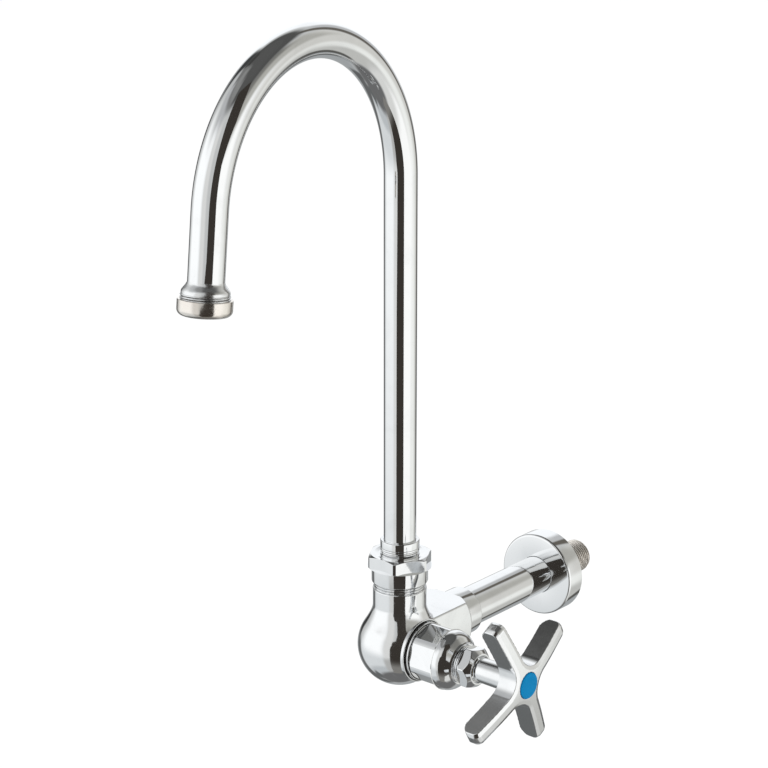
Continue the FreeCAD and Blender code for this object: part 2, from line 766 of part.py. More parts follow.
def make_spout_stem():
    """Bored stem with two ring grooves, a shoulder and the collar that holds the tube."""
    foot = neck_bore_floor + end_gap
    groove_radius = o_ring_centre() - o_ring_section - o_ring_bed
    points = [(spout_stem_bore, foot), (spout_stem_radius, foot, soft_edge)]
    for drop in o_ring_drops:
        groove_foot = neck_top - drop - o_ring_groove_width / 2
        groove_top = neck_top - drop + o_ring_groove_width / 2
        points += [(spout_stem_radius, groove_foot), (groove_radius, groove_foot),
                   (groove_radius, groove_top), (spout_stem_radius, groove_top)]
    line_middle = spout_collar_top - spout_collar_groove_drop
    line_foot = line_middle - spout_collar_groove_width / 2
    line_top = line_middle + spout_collar_groove_width / 2
    line_radius = spout_collar_radius - spout_collar_groove_depth
    socket = tube_radius + fixed_fit
    points += [(spout_stem_radius, shoulder_foot), (spout_shoulder_radius, shoulder_foot, fine_edge),
               (spout_shoulder_radius, shoulder_top, fine_edge), (spout_collar_radius, shoulder_top),
               (spout_collar_radius, line_foot), (line_radius, line_foot), (line_radius, line_top),
               (spout_collar_radius, line_top), (spout_collar_radius, spout_collar_top, soft_edge),
               (socket, spout_collar_top), (socket, tube_foot), (spout_stem_bore, tube_foot)]
    return turned(points, spout_frame)


def make_stem_o_rings():
    rings = []
    for drop in o_ring_drops:
        rings.append(round_ring(o_ring_centre(), o_ring_section, neck_top - drop, spout_frame))
    return Part.makeCompound(rings)


def spout_path():
    """Riser, arch and leg of the gooseneck in the spout's own frame, and the frame of its end."""
    centre = Vector(0, -bend_radius, bend_height)
    half = math.radians(bend_angle / 2)
    full = math.radians(bend_angle)
    middle = centre + Vector(0, math.cos(half), math.sin(half)) * bend_radius
    arch_end = centre + Vector(0, math.cos(full), math.sin(full)) * bend_radius
    down = Vector(0, -math.sin(full), math.cos(full))
    arch_start = Vector(0, 0, bend_height)
    tip = arch_end + down * leg_length
    path = Part.Wire([Part.LineSegment(Vector(0, 0, tube_foot), arch_start).toShape(),
                      Part.Arc(arch_start, middle, arch_end).toShape(),
                      Part.LineSegment(arch_end, tip).toShape()])
    return path, Placement(tip, Rotation(Vector(0, 0, 1), down))


def make_spout_tube():
    path, _ = spout_path()
    tubes = []
    for radius in (tube_radius, tube_radius - tube_wall):
        circle = Part.Wire(Part.makeCircle(radius, Vector(0, 0, tube_foot), Vector(0, 0, 1)))
        tubes.append(path.makePipeShell([circle], True, False))
    return placed(tubes[0].cut(tubes[1]), spout_frame)


def make_outlet():
    """The flared adapter and what is screwed on it, in order down the outlet."""
    _, tip = spout_path()
    frame = spout_frame.multiply(tip)
    spigot = tube_radius - tube_wall - fixed_fit
    thread = thread_lines(outlet_thread_radius, outlet_thread_depth, outlet_thread_start, outlet_thread_end,
                          outlet_thread_pitch)
    adapter = turned([(adapter_bore, -adapter_spigot_length), (spigot, -adapter_spigot_length, fine_edge),
                      (spigot, 0), (tube_radius, 0), (flare_radius, flare_length, flare_edge),
                      (flare_radius, outlet_thread_start)] + thread
                     + [(aerator_washer_hole, outlet_thread_end),
                        (adapter_bore, outlet_thread_end - adapter_funnel)], frame)
    inside = outlet_thread_radius + fixed_fit
    housing = turned([(inside, housing_start), (housing_radius, housing_start, fine_edge),
                      (housing_radius, housing_end, housing_edge_radius),
                      (housing_opening_radius, housing_end, fine_edge),
                      (housing_opening_radius, housing_ledge), (inside, housing_ledge)], frame)
    washer = ring(aerator_washer_hole, outlet_thread_radius, outlet_thread_end, aerator_washer_end, frame)
    screen = rod(outlet_thread_radius, aerator_washer_end, screen_end, frame)
    screen = screen.cut(hole_grid(screen_hole_radius, screen_hole_pitch, screen_hole_rings,
                                  aerator_washer_end - overrun, screen_end + overrun, frame))
    insert_radius = housing_opening_radius - fixed_fit
    insert_face = housing_end - insert_recess
    insert = turned([(0, screen_end), (outlet_thread_radius, screen_end),
                     (outlet_thread_radius, housing_ledge), (insert_radius, housing_ledge),
                     (insert_radius, insert_face, fine_edge), (0, insert_face)], frame)
    insert = insert.cut(hole_grid(insert_hole_radius, insert_hole_pitch, insert_hole_rings,
                                  screen_end - overrun, housing_end + overrun, frame))
    return adapter, housing, washer, screen, insert


def make_inlet():
    """Gasket, collar, pipe and wall thread, in order towards the wall."""
    gasket = ring(pipe_thread_radius + fixed_fit, inlet_gasket_radius, arm_end, pipe_shoulder, inlet_frame)
    collar_bore = pipe_radius + fixed_fit
    collar = turned([(collar_bore, pipe_shoulder), (collar_radius, pipe_shoulder, fine_edge),
                     (collar_radius, collar_end, collar_edge_radius), (collar_bore, collar_end)], inlet_frame)
    socket = nipple_spigot_radius + fixed_fit
    socket_floor = nipple_start - end_gap
    pipe = turned([(pipe_bore, pipe_start), (pipe_thread_radius, pipe_start, soft_edge),
                   (pipe_thread_radius, pipe_shoulder), (pipe_radius, pipe_shoulder),
                   (pipe_radius, pipe_end, soft_edge), (socket, pipe_end), (socket, socket_floor),
                   (pipe_bore, socket_floor)], inlet_frame)
    thread_foot = pipe_end + end_gap
    thread = thread_lines(wall_thread_radius, wall_thread_depth, thread_foot, nipple_end - nipple_lead,
                          wall_thread_pitch)
    nipple = turned([(nipple_bore, nipple_start), (nipple_spigot_radius, nipple_start, soft_edge),
                     (nipple_spigot_radius, thread_foot)] + thread
                    + [(wall_thread_radius - wall_thread_depth, nipple_end), (nipple_bore, nipple_end)],
                    inlet_frame)
    return gasket, collar, pipe, nipple


def make_flange():
    """Cup that hides the hole in the wall, and the rubber ring that grips the pipe."""
    hole = pipe_radius + running
    ring_centre = pipe_radius + running / 2 + grip_ring_section
    groove = ring_centre + grip_ring_section + fixed_fit
    groove_foot = grip_ring_place - grip_groove_width / 2
    groove_top = grip_ring_place + grip_groove_width / 2
    inside = flange_radius - flange_wall
    back = flange_face + flange_wall
    hub_end = flange_face + flange_hub_length
    flange = turned([(hole, flange_face), (flange_radius, flange_face, flange_edge_radius),
                     (flange_radius, wall_to_riser), (inside, wall_to_riser),
                     (inside, back, flange_inner_edge), (flange_hub_radius, back),
                     (flange_hub_radius, hub_end), (hole, hub_end), (hole, groove_top),
                     (groove, groove_top), (groove, groove_foot), (hole, groove_foot)], inlet_frame)
    return flange, round_ring(ring_centre, grip_ring_section, grip_ring_place, inlet_frame)


washer_holder, seat_washer, seat_screw = make_jumper()
packing_washer, packing_ring = make_packing()
handle_lock_washer, handle_screw, index_button = make_handle_fasteners()
thrust_washer, slip_ring = make_swivel_rings()
outlet_adapter, aerator_housing, aerator_washer, aerator_screen, aerator_insert = make_outlet()
inlet_gasket, inlet_collar, inlet_pipe, wall_nipple = make_inlet()
wall_flange, flange_grip_ring = make_flange()

nodes = {
    "valve_body": make_valve_body(),
    "valve_seat": make_valve_seat(),
    "inlet_gasket": inlet_gasket,
    "inlet_collar": inlet_collar,
    "inlet_pipe": inlet_pipe,
    "wall_nipple": wall_nipple,
    "swivel_nut": make_swivel_nut(),
    "thrust_washer": thrust_washer,
    "slip_ring": slip_ring,
    "bonnet": make_bonnet(),
    "bonnet_gasket": make_bonnet_gasket(),
    "packing_washer": packing_washer,
    "packing_ring": packing_ring,
    "gland_nut": make_gland_nut(),
    "wall_flange": wall_flange,
    "flange_grip_ring": flange_grip_ring,
    "spout_stem": make_spout_stem(),
    "stem_o_rings": make_stem_o_rings(),
    "spout_tube": make_spout_tube(),
    "outlet_adapter": outlet_adapter,
    "aerator_washer": aerator_washer,
    "aerator_screen": aerator_screen,
    "aerator_insert": aerator_insert,
    "aerator_housing": aerator_housing,
    "washer_holder": washer_holder,
    "seat_washer": seat_washer,
    "seat_screw": seat_screw,
    "valve_stem": make_valve_stem(),
    "cross_handle": make_cross_handle(),
    "handle_lock_washer": handle_lock_washer,
    "handle_screw": handle_screw,
    "index_button": index_button,
}

os.makedirs("parts", exist_ok=True)
for name, shape in nodes.items():
    box = shape.BoundBox
    print(name, "solids", len(shape.Solids), "valid", shape.isValid(), "volume", round(shape.Volume, 1),
          "x", round(box.XMin, 2), round(box.XMax, 2), "y", round(box.YMin, 2), round(box.YMax, 2),
          "z", round(box.ZMin, 2), round(box.ZMax, 2))
    shape.exportStep("parts/" + name + ".step")
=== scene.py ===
import bpy
import bmesh
import json
import math
import numpy as np
from mathutils import Matrix, Vector
from types import SimpleNamespace


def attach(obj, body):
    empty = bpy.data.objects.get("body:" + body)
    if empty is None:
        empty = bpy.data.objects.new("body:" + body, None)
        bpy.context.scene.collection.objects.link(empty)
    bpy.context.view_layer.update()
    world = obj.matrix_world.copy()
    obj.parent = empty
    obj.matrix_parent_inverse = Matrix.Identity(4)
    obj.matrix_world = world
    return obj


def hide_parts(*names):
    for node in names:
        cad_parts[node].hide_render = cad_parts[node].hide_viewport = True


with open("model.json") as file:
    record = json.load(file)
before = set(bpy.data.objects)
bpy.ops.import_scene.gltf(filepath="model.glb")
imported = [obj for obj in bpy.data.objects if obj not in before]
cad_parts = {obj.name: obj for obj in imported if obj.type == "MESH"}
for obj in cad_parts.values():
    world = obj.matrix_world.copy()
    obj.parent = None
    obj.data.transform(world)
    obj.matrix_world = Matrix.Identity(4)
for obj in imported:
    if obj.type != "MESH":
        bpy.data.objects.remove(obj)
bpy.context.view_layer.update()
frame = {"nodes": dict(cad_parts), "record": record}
print("frame loaded with", len(frame["nodes"]), "nodes")

# Sizes below are millimetres, as on a drawing. Meshes are made in metres.
millimetre = 0.001
ballCentre = (0.0, -150.0, -1.5)
spoutTurn = 5.46   # the spout rests a little to the right
handleTurn = 28.5


def read(settings):
    # the entries of a dictionary, read with a dot
    return SimpleNamespace(**settings)


def axisFrame(across, upward, along, origin):
    turn = Matrix((across, upward, along)).transposed().to_4x4()
    return Matrix.Translation(Vector(origin) * millimetre) @ turn


upFrame = axisFrame((1, 0, 0), (0, 1, 0), (0, 0, 1), ballCentre)
handleFrame = axisFrame((0, 1, 0), (0, 0, 1), (1, 0, 0), ballCentre)
inletFrame = axisFrame((0, 0, 1), (1, 0, 0), (0, 1, 0), (0, -150, 0))
spoutFrame = upFrame @ Matrix.Rotation(math.radians(spoutTurn), 4, "Z")
crossFrame = handleFrame @ Matrix.Rotation(math.radians(handleTurn), 4, "Z")

spoutTube = {"radius": 9.525, "wall": 1.2, "foot": 54.0, "bendHeight": 281.4, "bendRadius": 84.5,
             "bendAngle": 173.25, "leg": 34.9, "around": 96, "bendSteps": 150}


def tubePath(size):
    stations = [(Vector((0, 0, size.foot + (size.bendHeight - size.foot) * step / 24)), 0.0)
                for step in range(24)]
    full = math.radians(size.bendAngle)
    for step in range(size.bendSteps + 1):
        angle = full * step / size.bendSteps
        stations.append((Vector((0, -size.bendRadius + size.bendRadius * math.cos(angle),
                                 size.bendHeight + size.bendRadius * math.sin(angle))), angle))
    last = stations[-1][0]
    down = Vector((0, -math.sin(full), math.cos(full)))
    for step in range(1, 9):
        stations.append((last + down * size.leg * step / 8, full))
    return stations


tipPlace, tipAngle = tubePath(read(spoutTube))[-1]
tipDown = Vector((0, -math.sin(tipAngle), math.cos(tipAngle)))
tipTurn = Vector((0, 0, 1)).rotation_difference(tipDown).to_matrix().to_4x4()
outletFrame = spoutFrame @ Matrix.Translation(tipPlace * millimetre) @ tipTurn


# Camera
cameraSettings = {
    "place": (0.76539, -1.07652, 0.52179),
    "right": (0.76600, 0.64284, 0.0),
    "up": (-0.18590, 0.22152, 0.95727),
    "backward": (0.61537, -0.73327, 0.28919),
    "lens": 102.79,
}
cameraData = bpy.data.cameras.new("photoCamera")
cameraData.lens = cameraSettings["lens"]
cameraData.sensor_width = 36
cameraData.clip_start = 0.05
cameraData.clip_end = 50
cameraData.dof.use_dof = False
camera = bpy.data.objects.new("photoCamera", cameraData)
turn = Matrix([cameraSettings[side] for side in ("right", "up", "backward")]).transposed().to_4x4()
camera.matrix_world = Matrix.Translation(cameraSettings["place"]) @ turn
bpy.context.scene.collection.objects.link(camera)
bpy.context.scene.camera = camera
bpy.context.scene.view_settings.view_transform = "Standard"
print("camera placed")


# Node helpers
def addNode(tree, kind, place=(0, 0), **settings):
    node = tree.nodes.new(kind)
    node.location = place
    for name, value in settings.items():
        setattr(node, name, value)
    return node


def feed(tree, source, target):
    tree.links.new(source, target)


def mathNode(tree, operation, first, second=None, third=None):
    node = addNode(tree, "ShaderNodeMath", operation=operation)
    for socket, value in zip(node.inputs, (first, second, third)):
        if value is None:
            continue
        if isinstance(value, (int, float)):
            socket.default_value = value
        else:
            feed(tree, value, socket)
    return node.outputs[0]


def rangeNode(tree, value, low, high, newLow, newHigh, smooth=False):
    node = addNode(tree, "ShaderNodeMapRange")
    node.interpolation_type = "SMOOTHSTEP" if smooth else "LINEAR"
    feed(tree, value, node.inputs["Value"])
    for name, number in zip(("From Min", "From Max", "To Min", "To Max"), (low, high, newLow, newHigh)):
        node.inputs[name].default_value = number
    return node.outputs["Result"]


def mixColour(tree, mask, first, second):
    node = addNode(tree, "ShaderNodeMix", data_type="RGBA")
    for socket, value in zip((node.inputs[0], node.inputs[6], node.inputs[7]), (mask, first, second)):
        if isinstance(value, bpy.types.NodeSocket):
            feed(tree, value, socket)
        elif isinstance(value, (int, float)):
            socket.default_value = value
        else:
            socket.default_value = (*value, 1.0)
    return node.outputs[2]


def linear(red, green, blue, gain=1.0):
    # screen values 0..255 to the numbers that a shader takes
    out = []
    for value in (red, green, blue):
        share = value / 255
        out.append(gain * (share / 12.92 if share <= 0.04045 else ((share + 0.055) / 1.055) ** 2.4))
    return tuple(out)


def newGroup(name, inputs, outputs):
    # inputs have first values, and None stands for a vector; every output is a number
    group = bpy.data.node_groups.new(name, "ShaderNodeTree")
    for title, value in inputs.items():
        kind = "NodeSocketVector" if value is None else "NodeSocketFloat"
        socket = group.interface.new_socket(name=title, in_out="INPUT", socket_type=kind)
        if value is not None:
            socket.default_value = value
    for title in outputs:
        group.interface.new_socket(name=title, in_out="OUTPUT", socket_type="NodeSocketFloat")
    return group, addNode(group, "NodeGroupInput", (-900, 0)), addNode(group, "NodeGroupOutput", (900, 0))


def noiseNode(tree, detail, where, scale=None):
    node = addNode(tree, "ShaderNodeTexNoise", (-400, 0))
    node.inputs["Detail"].default_value = detail
    feed(tree, where, node.inputs["Vector"])
    if scale is None:
        node.inputs["Scale"].default_value = 1
    else:
        feed(tree, scale, node.inputs["Scale"])
    return node


def ownRadius(tree, parts):
    # distance from the piece's own axis
    squares = [mathNode(tree, "POWER", parts.outputs[side], 2) for side in (0, 1)]
    return mathNode(tree, "SQRT", mathNode(tree, "ADD", *squares))


# Shared effects
noiseSpan = (0.3, 0.7)   # most of a noise node's values lie between these


def handledFinish():
    # faint smudges, a fine haze and the slow waviness of a polished casting
    group, entry, out = newGroup(
        "handledFinish", {"Vector": None, "Smudge Size": 60.0, "Haze Size": 900.0, "Wave Size": 120.0},
        ["Smudge", "Haze", "Wave"])
    smudge, haze, wave = [noiseNode(group, detail, entry.outputs["Vector"], entry.outputs[scale])
                          for detail, scale in ((6, "Smudge Size"), (3, "Haze Size"), (1, "Wave Size"))]
    smudge.inputs["Roughness"].default_value = 0.62
    smudge.inputs["Distortion"].default_value = 0.8
    feed(group, rangeNode(group, smudge.outputs["Fac"], 0.45, 0.78, 0, 1, True), out.inputs["Smudge"])
    feed(group, rangeNode(group, haze.outputs["Fac"], *noiseSpan, 0, 1), out.inputs["Haze"])
    feed(group, wave.outputs["Fac"], out.inputs["Wave"])
    return group


def turnedLines():
    # lines that a lathe or a brush leaves round the piece's own axis, which is its local Z
    group, entry, out = newGroup(
        "turnedLines", {"Vector": None, "Spacing": 4000.0, "Break Up": 60.0}, ["Line", "Patch"])
    spacing, breakUp = entry.outputs["Spacing"], entry.outputs["Break Up"]
    parts = addNode(group, "ShaderNodeSeparateXYZ", (-700, 0))
    feed(group, entry.outputs["Vector"], parts.inputs[0])
    stretched = addNode(group, "ShaderNodeCombineXYZ", (-300, 0))
    feed(group, mathNode(group, "MULTIPLY", ownRadius(group, parts), spacing), stretched.inputs[0])
    feed(group, mathNode(group, "MULTIPLY", parts.outputs[2], spacing), stretched.inputs[2])
    feed(group, mathNode(group, "MULTIPLY", parts.outputs[0], breakUp), stretched.inputs[1])
    feed(group, noiseNode(group, 2, stretched.outputs[0]).outputs["Fac"], out.inputs["Line"])
    feed(group, noiseNode(group, 2, entry.outputs["Vector"], breakUp).outputs["Fac"], out.inputs["Patch"])
    return group


def speckle():
    # small pits and grain, for cast, moulded and fibrous surfaces
    group, entry, out = newGroup(
        "speckle", {"Vector": None, "Grain Size": 1500.0, "Cloud Size": 150.0}, ["Grain", "Cloud"])
    grain, cloud = [noiseNode(group, detail, entry.outputs["Vector"], entry.outputs[scale])
                    for detail, scale in ((4, "Grain Size"), (3, "Cloud Size"))]
    feed(group, grain.outputs["Fac"], out.inputs["Grain"])
    feed(group, rangeNode(group, cloud.outputs["Fac"], *noiseSpan, 0, 1, True), out.inputs["Cloud"])
    return group


def paintedGrooveShade():
    # painted shade: darkens a groove round the piece's own axis, between two heights, where shade falls in
    # the hollow
    group, entry, out = newGroup(
        "paintedGrooveShade", {"Vector": None, "Crest": 0.02, "Root": 0.019, "Low": 0.0, "High": 0.01}, ["Seam"])
    crest, root, low, high = [entry.outputs[title] for title in ("Crest", "Root", "Low", "High")]
    parts = addNode(group, "ShaderNodeSeparateXYZ", (-700, 0))
    feed(group, entry.outputs["Vector"], parts.inputs[0])
    depth = mathNode(group, "DIVIDE", mathNode(group, "SUBTRACT", crest, ownRadius(group, parts)),
                     mathNode(group, "SUBTRACT", crest, root))
    deep = rangeNode(group, depth, 0.1, 0.75, 0, 1, True)
    tests = (("GREATER_THAN", parts.outputs[2], low), ("LESS_THAN", parts.outputs[2], high),
             ("GREATER_THAN", depth, 0.0), ("LESS_THAN", depth, 1.6))
    for test, value, limit in tests:
        deep = mathNode(group, "MULTIPLY", deep, mathNode(group, test, value, limit))
    feed(group, deep, out.inputs["Seam"])
    return group


finishGroup = handledFinish()
linesGroup = turnedLines()
speckleGroup = speckle()
paintedShadeGroup = paintedGrooveShade()


# Materials
def newMaterial(name, metallic, ior=1.45):
    material = bpy.data.materials.new(name)
    material.use_nodes = True
    tree = material.node_tree
    tree.nodes.clear()
    out = addNode(tree, "ShaderNodeOutputMaterial", (700, 0))
    shader = addNode(tree, "ShaderNodeBsdfPrincipled", (400, 0))
    shader.inputs["Metallic"].default_value = metallic
    shader.inputs["IOR"].default_value = ior
    feed(tree, shader.outputs[0], out.inputs[0])
    return material, tree, shader


def placeGroup(tree, group, axis=None, **values):
    node = addNode(tree, "ShaderNodeGroup", (-500, 0), node_tree=group)
    where = addNode(tree, "ShaderNodeTexCoord", (-1000, 0)).outputs["Object"]
    if axis:
        turned = addNode(tree, "ShaderNodeMapping", (-800, 0), vector_type="POINT")
        turned.inputs["Location"].default_value = axis.inverted().translation
        turned.inputs["Rotation"].default_value = axis.inverted().to_euler()
        feed(tree, where, turned.inputs["Vector"])
        where = turned.outputs[0]
    feed(tree, where, node.inputs["Vector"])
    for name, value in values.items():
        node.inputs[name].default_value = value
    return node


def bump(tree, shader, height, distance):
    node = addNode(tree, "ShaderNodeBump", (200, -250))
    node.inputs["Strength"].default_value = 1
    node.inputs["Distance"].default_value = distance
    feed(tree, height, node.inputs["Height"])
    feed(tree, node.outputs["Normal"], shader.inputs["Normal"])


def paintedShadeMask(tree, shadedGrooves):
    # painted shade in grooves, each given as (axis frame, crest radius, root radius, low, high) in
    # millimetres
    mask = None
    for axis, *numbers in shadedGrooves:
        sizes = dict(zip(("Crest", "Root", "Low", "High"), (number * millimetre for number in numbers)))
        grooveShade = placeGroup(tree, paintedShadeGroup, axis, **sizes).outputs["Seam"]
        mask = grooveShade if mask is None else mathNode(tree, "MAXIMUM", mask, grooveShade)
    return mask


def platedMetal(name, look, shadedGrooves=()):
    material, tree, shader = newMaterial(name, 1.0)
    sizes = {"Smudge Size": look["smudgeSize"], "Wave Size": look["waveSize"]}
    finish = placeGroup(tree, finishGroup, **sizes)
    colour = mixColour(tree, finish.outputs["Smudge"], look["colour"], look["smudgeColour"])
    base = rangeNode(tree, finish.outputs["Smudge"], 0, 1, look["roughness"], look["smudgeRoughness"])
    haze = mathNode(tree, "MULTIPLY", finish.outputs["Haze"], look["haze"])
    roughness = mathNode(tree, "ADD", base, haze)
    # painted shade: the grooves are darkened in colour and made rougher
    if shadedGrooves:
        grooveShade = paintedShadeMask(tree, shadedGrooves)
        colour = mixColour(tree, grooveShade, colour, look.get("paintedShadeColour", paintedShadeLook["colour"]))
        shadeRoughness = mathNode(tree, "MULTIPLY", grooveShade, paintedShadeLook["roughness"])
        roughness = mathNode(tree, "MAXIMUM", roughness, shadeRoughness)
    feed(tree, colour, shader.inputs["Base Color"])
    feed(tree, roughness, shader.inputs["Roughness"])
    bump(tree, shader, finish.outputs["Wave"], look["waveHeight"])
    return material


def brushedMetal(name, look, axis, shadedGrooves=()):
    material, tree, shader = newMaterial(name, 1.0)
    lines = placeGroup(tree, linesGroup, axis, **{"Spacing": look["spacing"], "Break Up": look["breakUp"]})
    colour = mixColour(tree, rangeNode(tree, lines.outputs["Patch"], 0.35, 0.65, 0, 1, True),
                       look["colour"], look["patchColour"])
    # painted shade: the grooves are darkened in colour
    if shadedGrooves:
        colour = mixColour(tree, paintedShadeMask(tree, shadedGrooves), colour, look.get("paintedShadeColour", paintedShadeLook["colour"]))
    feed(tree, colour, shader.inputs["Base Color"])
    feed(tree, rangeNode(tree, lines.outputs["Line"], *noiseSpan, look["roughness"], look["lineRoughness"]),
         shader.inputs["Roughness"])
    bump(tree, shader, lines.outputs["Line"], look["lineHeight"])
    return material


def grainyStuff(name, look):
    material, tree, shader = newMaterial(name, 0.0, look.get("ior", 1.45))
    sizes = {"Grain Size": look["grainSize"], "Cloud Size": look["cloudSize"]}
    grain = placeGroup(tree, speckleGroup, **sizes)
    feed(tree, mixColour(tree, grain.outputs["Cloud"], look["colour"], look["cloudColour"]),
         shader.inputs["Base Color"])
    feed(tree, rangeNode(tree, grain.outputs["Grain"], *noiseSpan, look["roughness"], look["grainRoughness"]),
         shader.inputs["Roughness"])
    bump(tree, shader, grain.outputs["Grain"], look["grainHeight"])
    return material


# colour and roughness of the painted shade in grooves
paintedShadeLook = {"colour": (0.045, 0.045, 0.045), "roughness": 0.4}
chromeLook = {
    "colour": (0.86, 0.87, 0.88), "smudgeColour": (0.80, 0.81, 0.82), "roughness": 0.035,
    "smudgeRoughness": 0.07, "haze": 0.015, "smudgeSize": 45.0, "waveSize": 70.0, "waveHeight": 0.00002,
}
castChromeLook = dict(chromeLook, roughness=0.07, smudgeRoughness=0.11, waveSize=110.0, waveHeight=0.00003)
# soft chrome for the outlet; its painted shade in the thread is a light grey
softChromeLook = dict(chromeLook, roughness=0.2, smudgeRoughness=0.26, haze=0.04,
                      paintedShadeColour=(0.34, 0.33, 0.32))
handleChromeLook = dict(castChromeLook, roughness=0.11, smudgeRoughness=0.15)
# its painted shade in the thread under the hexagon is a mid grey
glandChromeLook = dict(chromeLook, roughness=0.06, paintedShadeColour=(0.16, 0.16, 0.16))
stemChromeLook = dict(chromeLook, roughness=0.05, smudgeSize=90.0)
nickelLook = {
    "colour": (0.86, 0.82, 0.77), "patchColour": (0.82, 0.77, 0.72), "roughness": 0.14,
    "lineRoughness": 0.22, "spacing": 4200.0, "breakUp": 70.0, "lineHeight": 0.0000025,
}
# the wall nipple's thread; its painted shade in the roots is a warm dark grey
threadLook = dict(nickelLook, colour=(0.95, 0.91, 0.86), patchColour=(0.92, 0.87, 0.81), roughness=0.34,
                  lineRoughness=0.42, breakUp=120.0, paintedShadeColour=(0.28, 0.24, 0.20))
brassLook = {
    "colour": (0.72, 0.53, 0.25), "patchColour": (0.62, 0.44, 0.19), "roughness": 0.22,
    "lineRoughness": 0.36, "spacing": 3600.0, "breakUp": 70.0, "lineHeight": 0.000008,
}
steelLook = {
    "colour": (0.62, 0.62, 0.61), "patchColour": (0.54, 0.54, 0.53), "roughness": 0.24,
    "lineRoughness": 0.38, "spacing": 4200.0, "breakUp": 80.0, "lineHeight": 0.000006,
}
rubberLook = {
    "colour": (0.018, 0.018, 0.019), "cloudColour": (0.035, 0.034, 0.033), "roughness": 0.55,
    "grainRoughness": 0.72, "grainSize": 2400.0, "cloudSize": 260.0, "grainHeight": 0.00002,
}
fibreLook = {
    "colour": (0.045, 0.040, 0.036), "cloudColour": (0.032, 0.029, 0.027), "roughness": 0.7,
    "grainRoughness": 0.85, "grainSize": 3200.0, "cloudSize": 420.0, "grainHeight": 0.00002,
}
plasticLook = {
    "colour": (0.80, 0.80, 0.78), "cloudColour": (0.74, 0.74, 0.72), "roughness": 0.32,
    "grainRoughness": 0.42, "grainSize": 1800.0, "cloudSize": 160.0, "grainHeight": 0.000006,
}
markLook = {
    "colour": linear(0, 121, 173), "cloudColour": linear(0, 126, 180), "roughness": 0.45,
    "grainRoughness": 0.55, "grainSize": 2600.0, "cloudSize": 140.0, "grainHeight": 0.000005, "ior": 1.16,
}
finishes = {
    "chrome": platedMetal("polishedChrome", chromeLook),
    "handleChrome": platedMetal("handleChrome", handleChromeLook),
    "ballChrome": platedMetal("ballChrome", castChromeLook),
    # painted shade on the port ring's face beside the bonnet flange
    "portChrome": platedMetal("portChrome", chromeLook, [(handleFrame, 18.65, 18.0, 18.2, 18.5)]),
    # painted shade in the neck thread's roots
    "neckChrome": platedMetal("neckChrome", chromeLook, [(upFrame, 15.4, 14.5, 35.8, 45.0)]),
    # painted shade in the groove between the bonnet flange and its hexagon
    "bonnetChrome": platedMetal("bonnetChrome", chromeLook, [(handleFrame, 17.5, 16.9, 20.2, 20.8)]),
    # painted shade in the gland thread below its hexagon
    "glandChrome": platedMetal("glandChrome", glandChromeLook, [(handleFrame, 11.1, 10.4, 48.5, 52.49)]),
    # painted shade in the outlet thread between the flare and the aerator housing
    "outletChrome": platedMetal("outletChrome", softChromeLook, [(outletFrame, 12.8, 12.1, 6.3, 9.2)]),
    "chromed_stem": platedMetal("chromedStem", stemChromeLook),
    "satin_nickel": brushedMetal("satinNickel", nickelLook, outletFrame),
    # painted shade in the wall thread's roots
    "threadNickel": brushedMetal("threadNickel", threadLook, inletFrame,
                                 [(inletFrame, 10.4, 9.5, 147.0, 181.5)]),
    "brass": brushedMetal("turnedBrass", brassLook, handleFrame),
    "steel": brushedMetal("plainSteel", steelLook, handleFrame),
    "rubber": grainyStuff("blackRubber", rubberLook),
    "fibre": grainyStuff("pressedFibre", fibreLook),
    "white_plastic": grainyStuff("whitePlastic", plasticLook),
    "blue_plastic": grainyStuff("blueMark", markLook),
}
slotOfNode = {part["node"]: part["material_slot"] for part in frame["record"]["subparts"]}
for nodeName, nodeObject in frame["nodes"].items():
    finish = finishes[slotOfNode[nodeName]]
    if not nodeObject.material_slots:
        nodeObject.data.materials.append(finish)
    for materialSlot in nodeObject.material_slots:
        materialSlot.material = finish
print("finishes made:", len(finishes))


# Mesh helpers
def addPiece(name, points, faces, place, body, node, slotName, finish=None, sharp=32, normals=None):
    mesh = bpy.data.meshes.new(name)
    mesh.from_pydata([tuple(place @ Vector(point)) for point in points], [], [tuple(face) for face in faces])
    if normals is None:
        work = bmesh.new()
        work.from_mesh(mesh)
        bmesh.ops.recalc_face_normals(work, faces=work.faces)
        work.to_mesh(mesh)
        work.free()
    mesh.shade_smooth()
    if normals is None:
        mesh.set_sharp_from_angle(angle=math.radians(sharp))
    else:
        turned = [tuple(place.to_3x3() @ Vector(normal)) for normal in normals]
        mesh.normals_split_custom_set_from_vertices(turned)
    mesh.materials.append(finishes[finish or slotName])
    piece = bpy.data.objects.new(name, mesh)
    bpy.context.scene.collection.objects.link(piece)
    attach(piece, body)
    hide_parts(node)


def roundedLine(corners, closed=False, arcSteps=6):
    # corners are (radius, along) or (radius, along, corner radius)
    line = []
    count = len(corners)
    for index, corner in enumerate(corners):
        middle = Vector(corner[:2])
        size = corner[2] if len(corner) > 2 else 0
        if size == 0 or (not closed and index in (0, count - 1)):
            line.append(tuple(middle))
            continue
        back = (Vector(corners[index - 1][:2]) - middle).normalized()
        ahead = (Vector(corners[(index + 1) % count][:2]) - middle).normalized()
        half = back.angle(ahead) / 2
        centre = middle + (back + ahead).normalized() * (size / math.sin(half))
        first = middle + back * (size / math.tan(half)) - centre
        last = middle + ahead * (size / math.tan(half)) - centre
        start = math.atan2(first.y, first.x)
        sweep = (math.atan2(last.y, last.x) - start + math.pi) % (2 * math.pi) - math.pi
        for step in range(arcSteps + 1):
            angle = start + sweep * step / arcSteps
            line.append((centre.x + size * math.cos(angle), centre.y + size * math.sin(angle)))
    return line


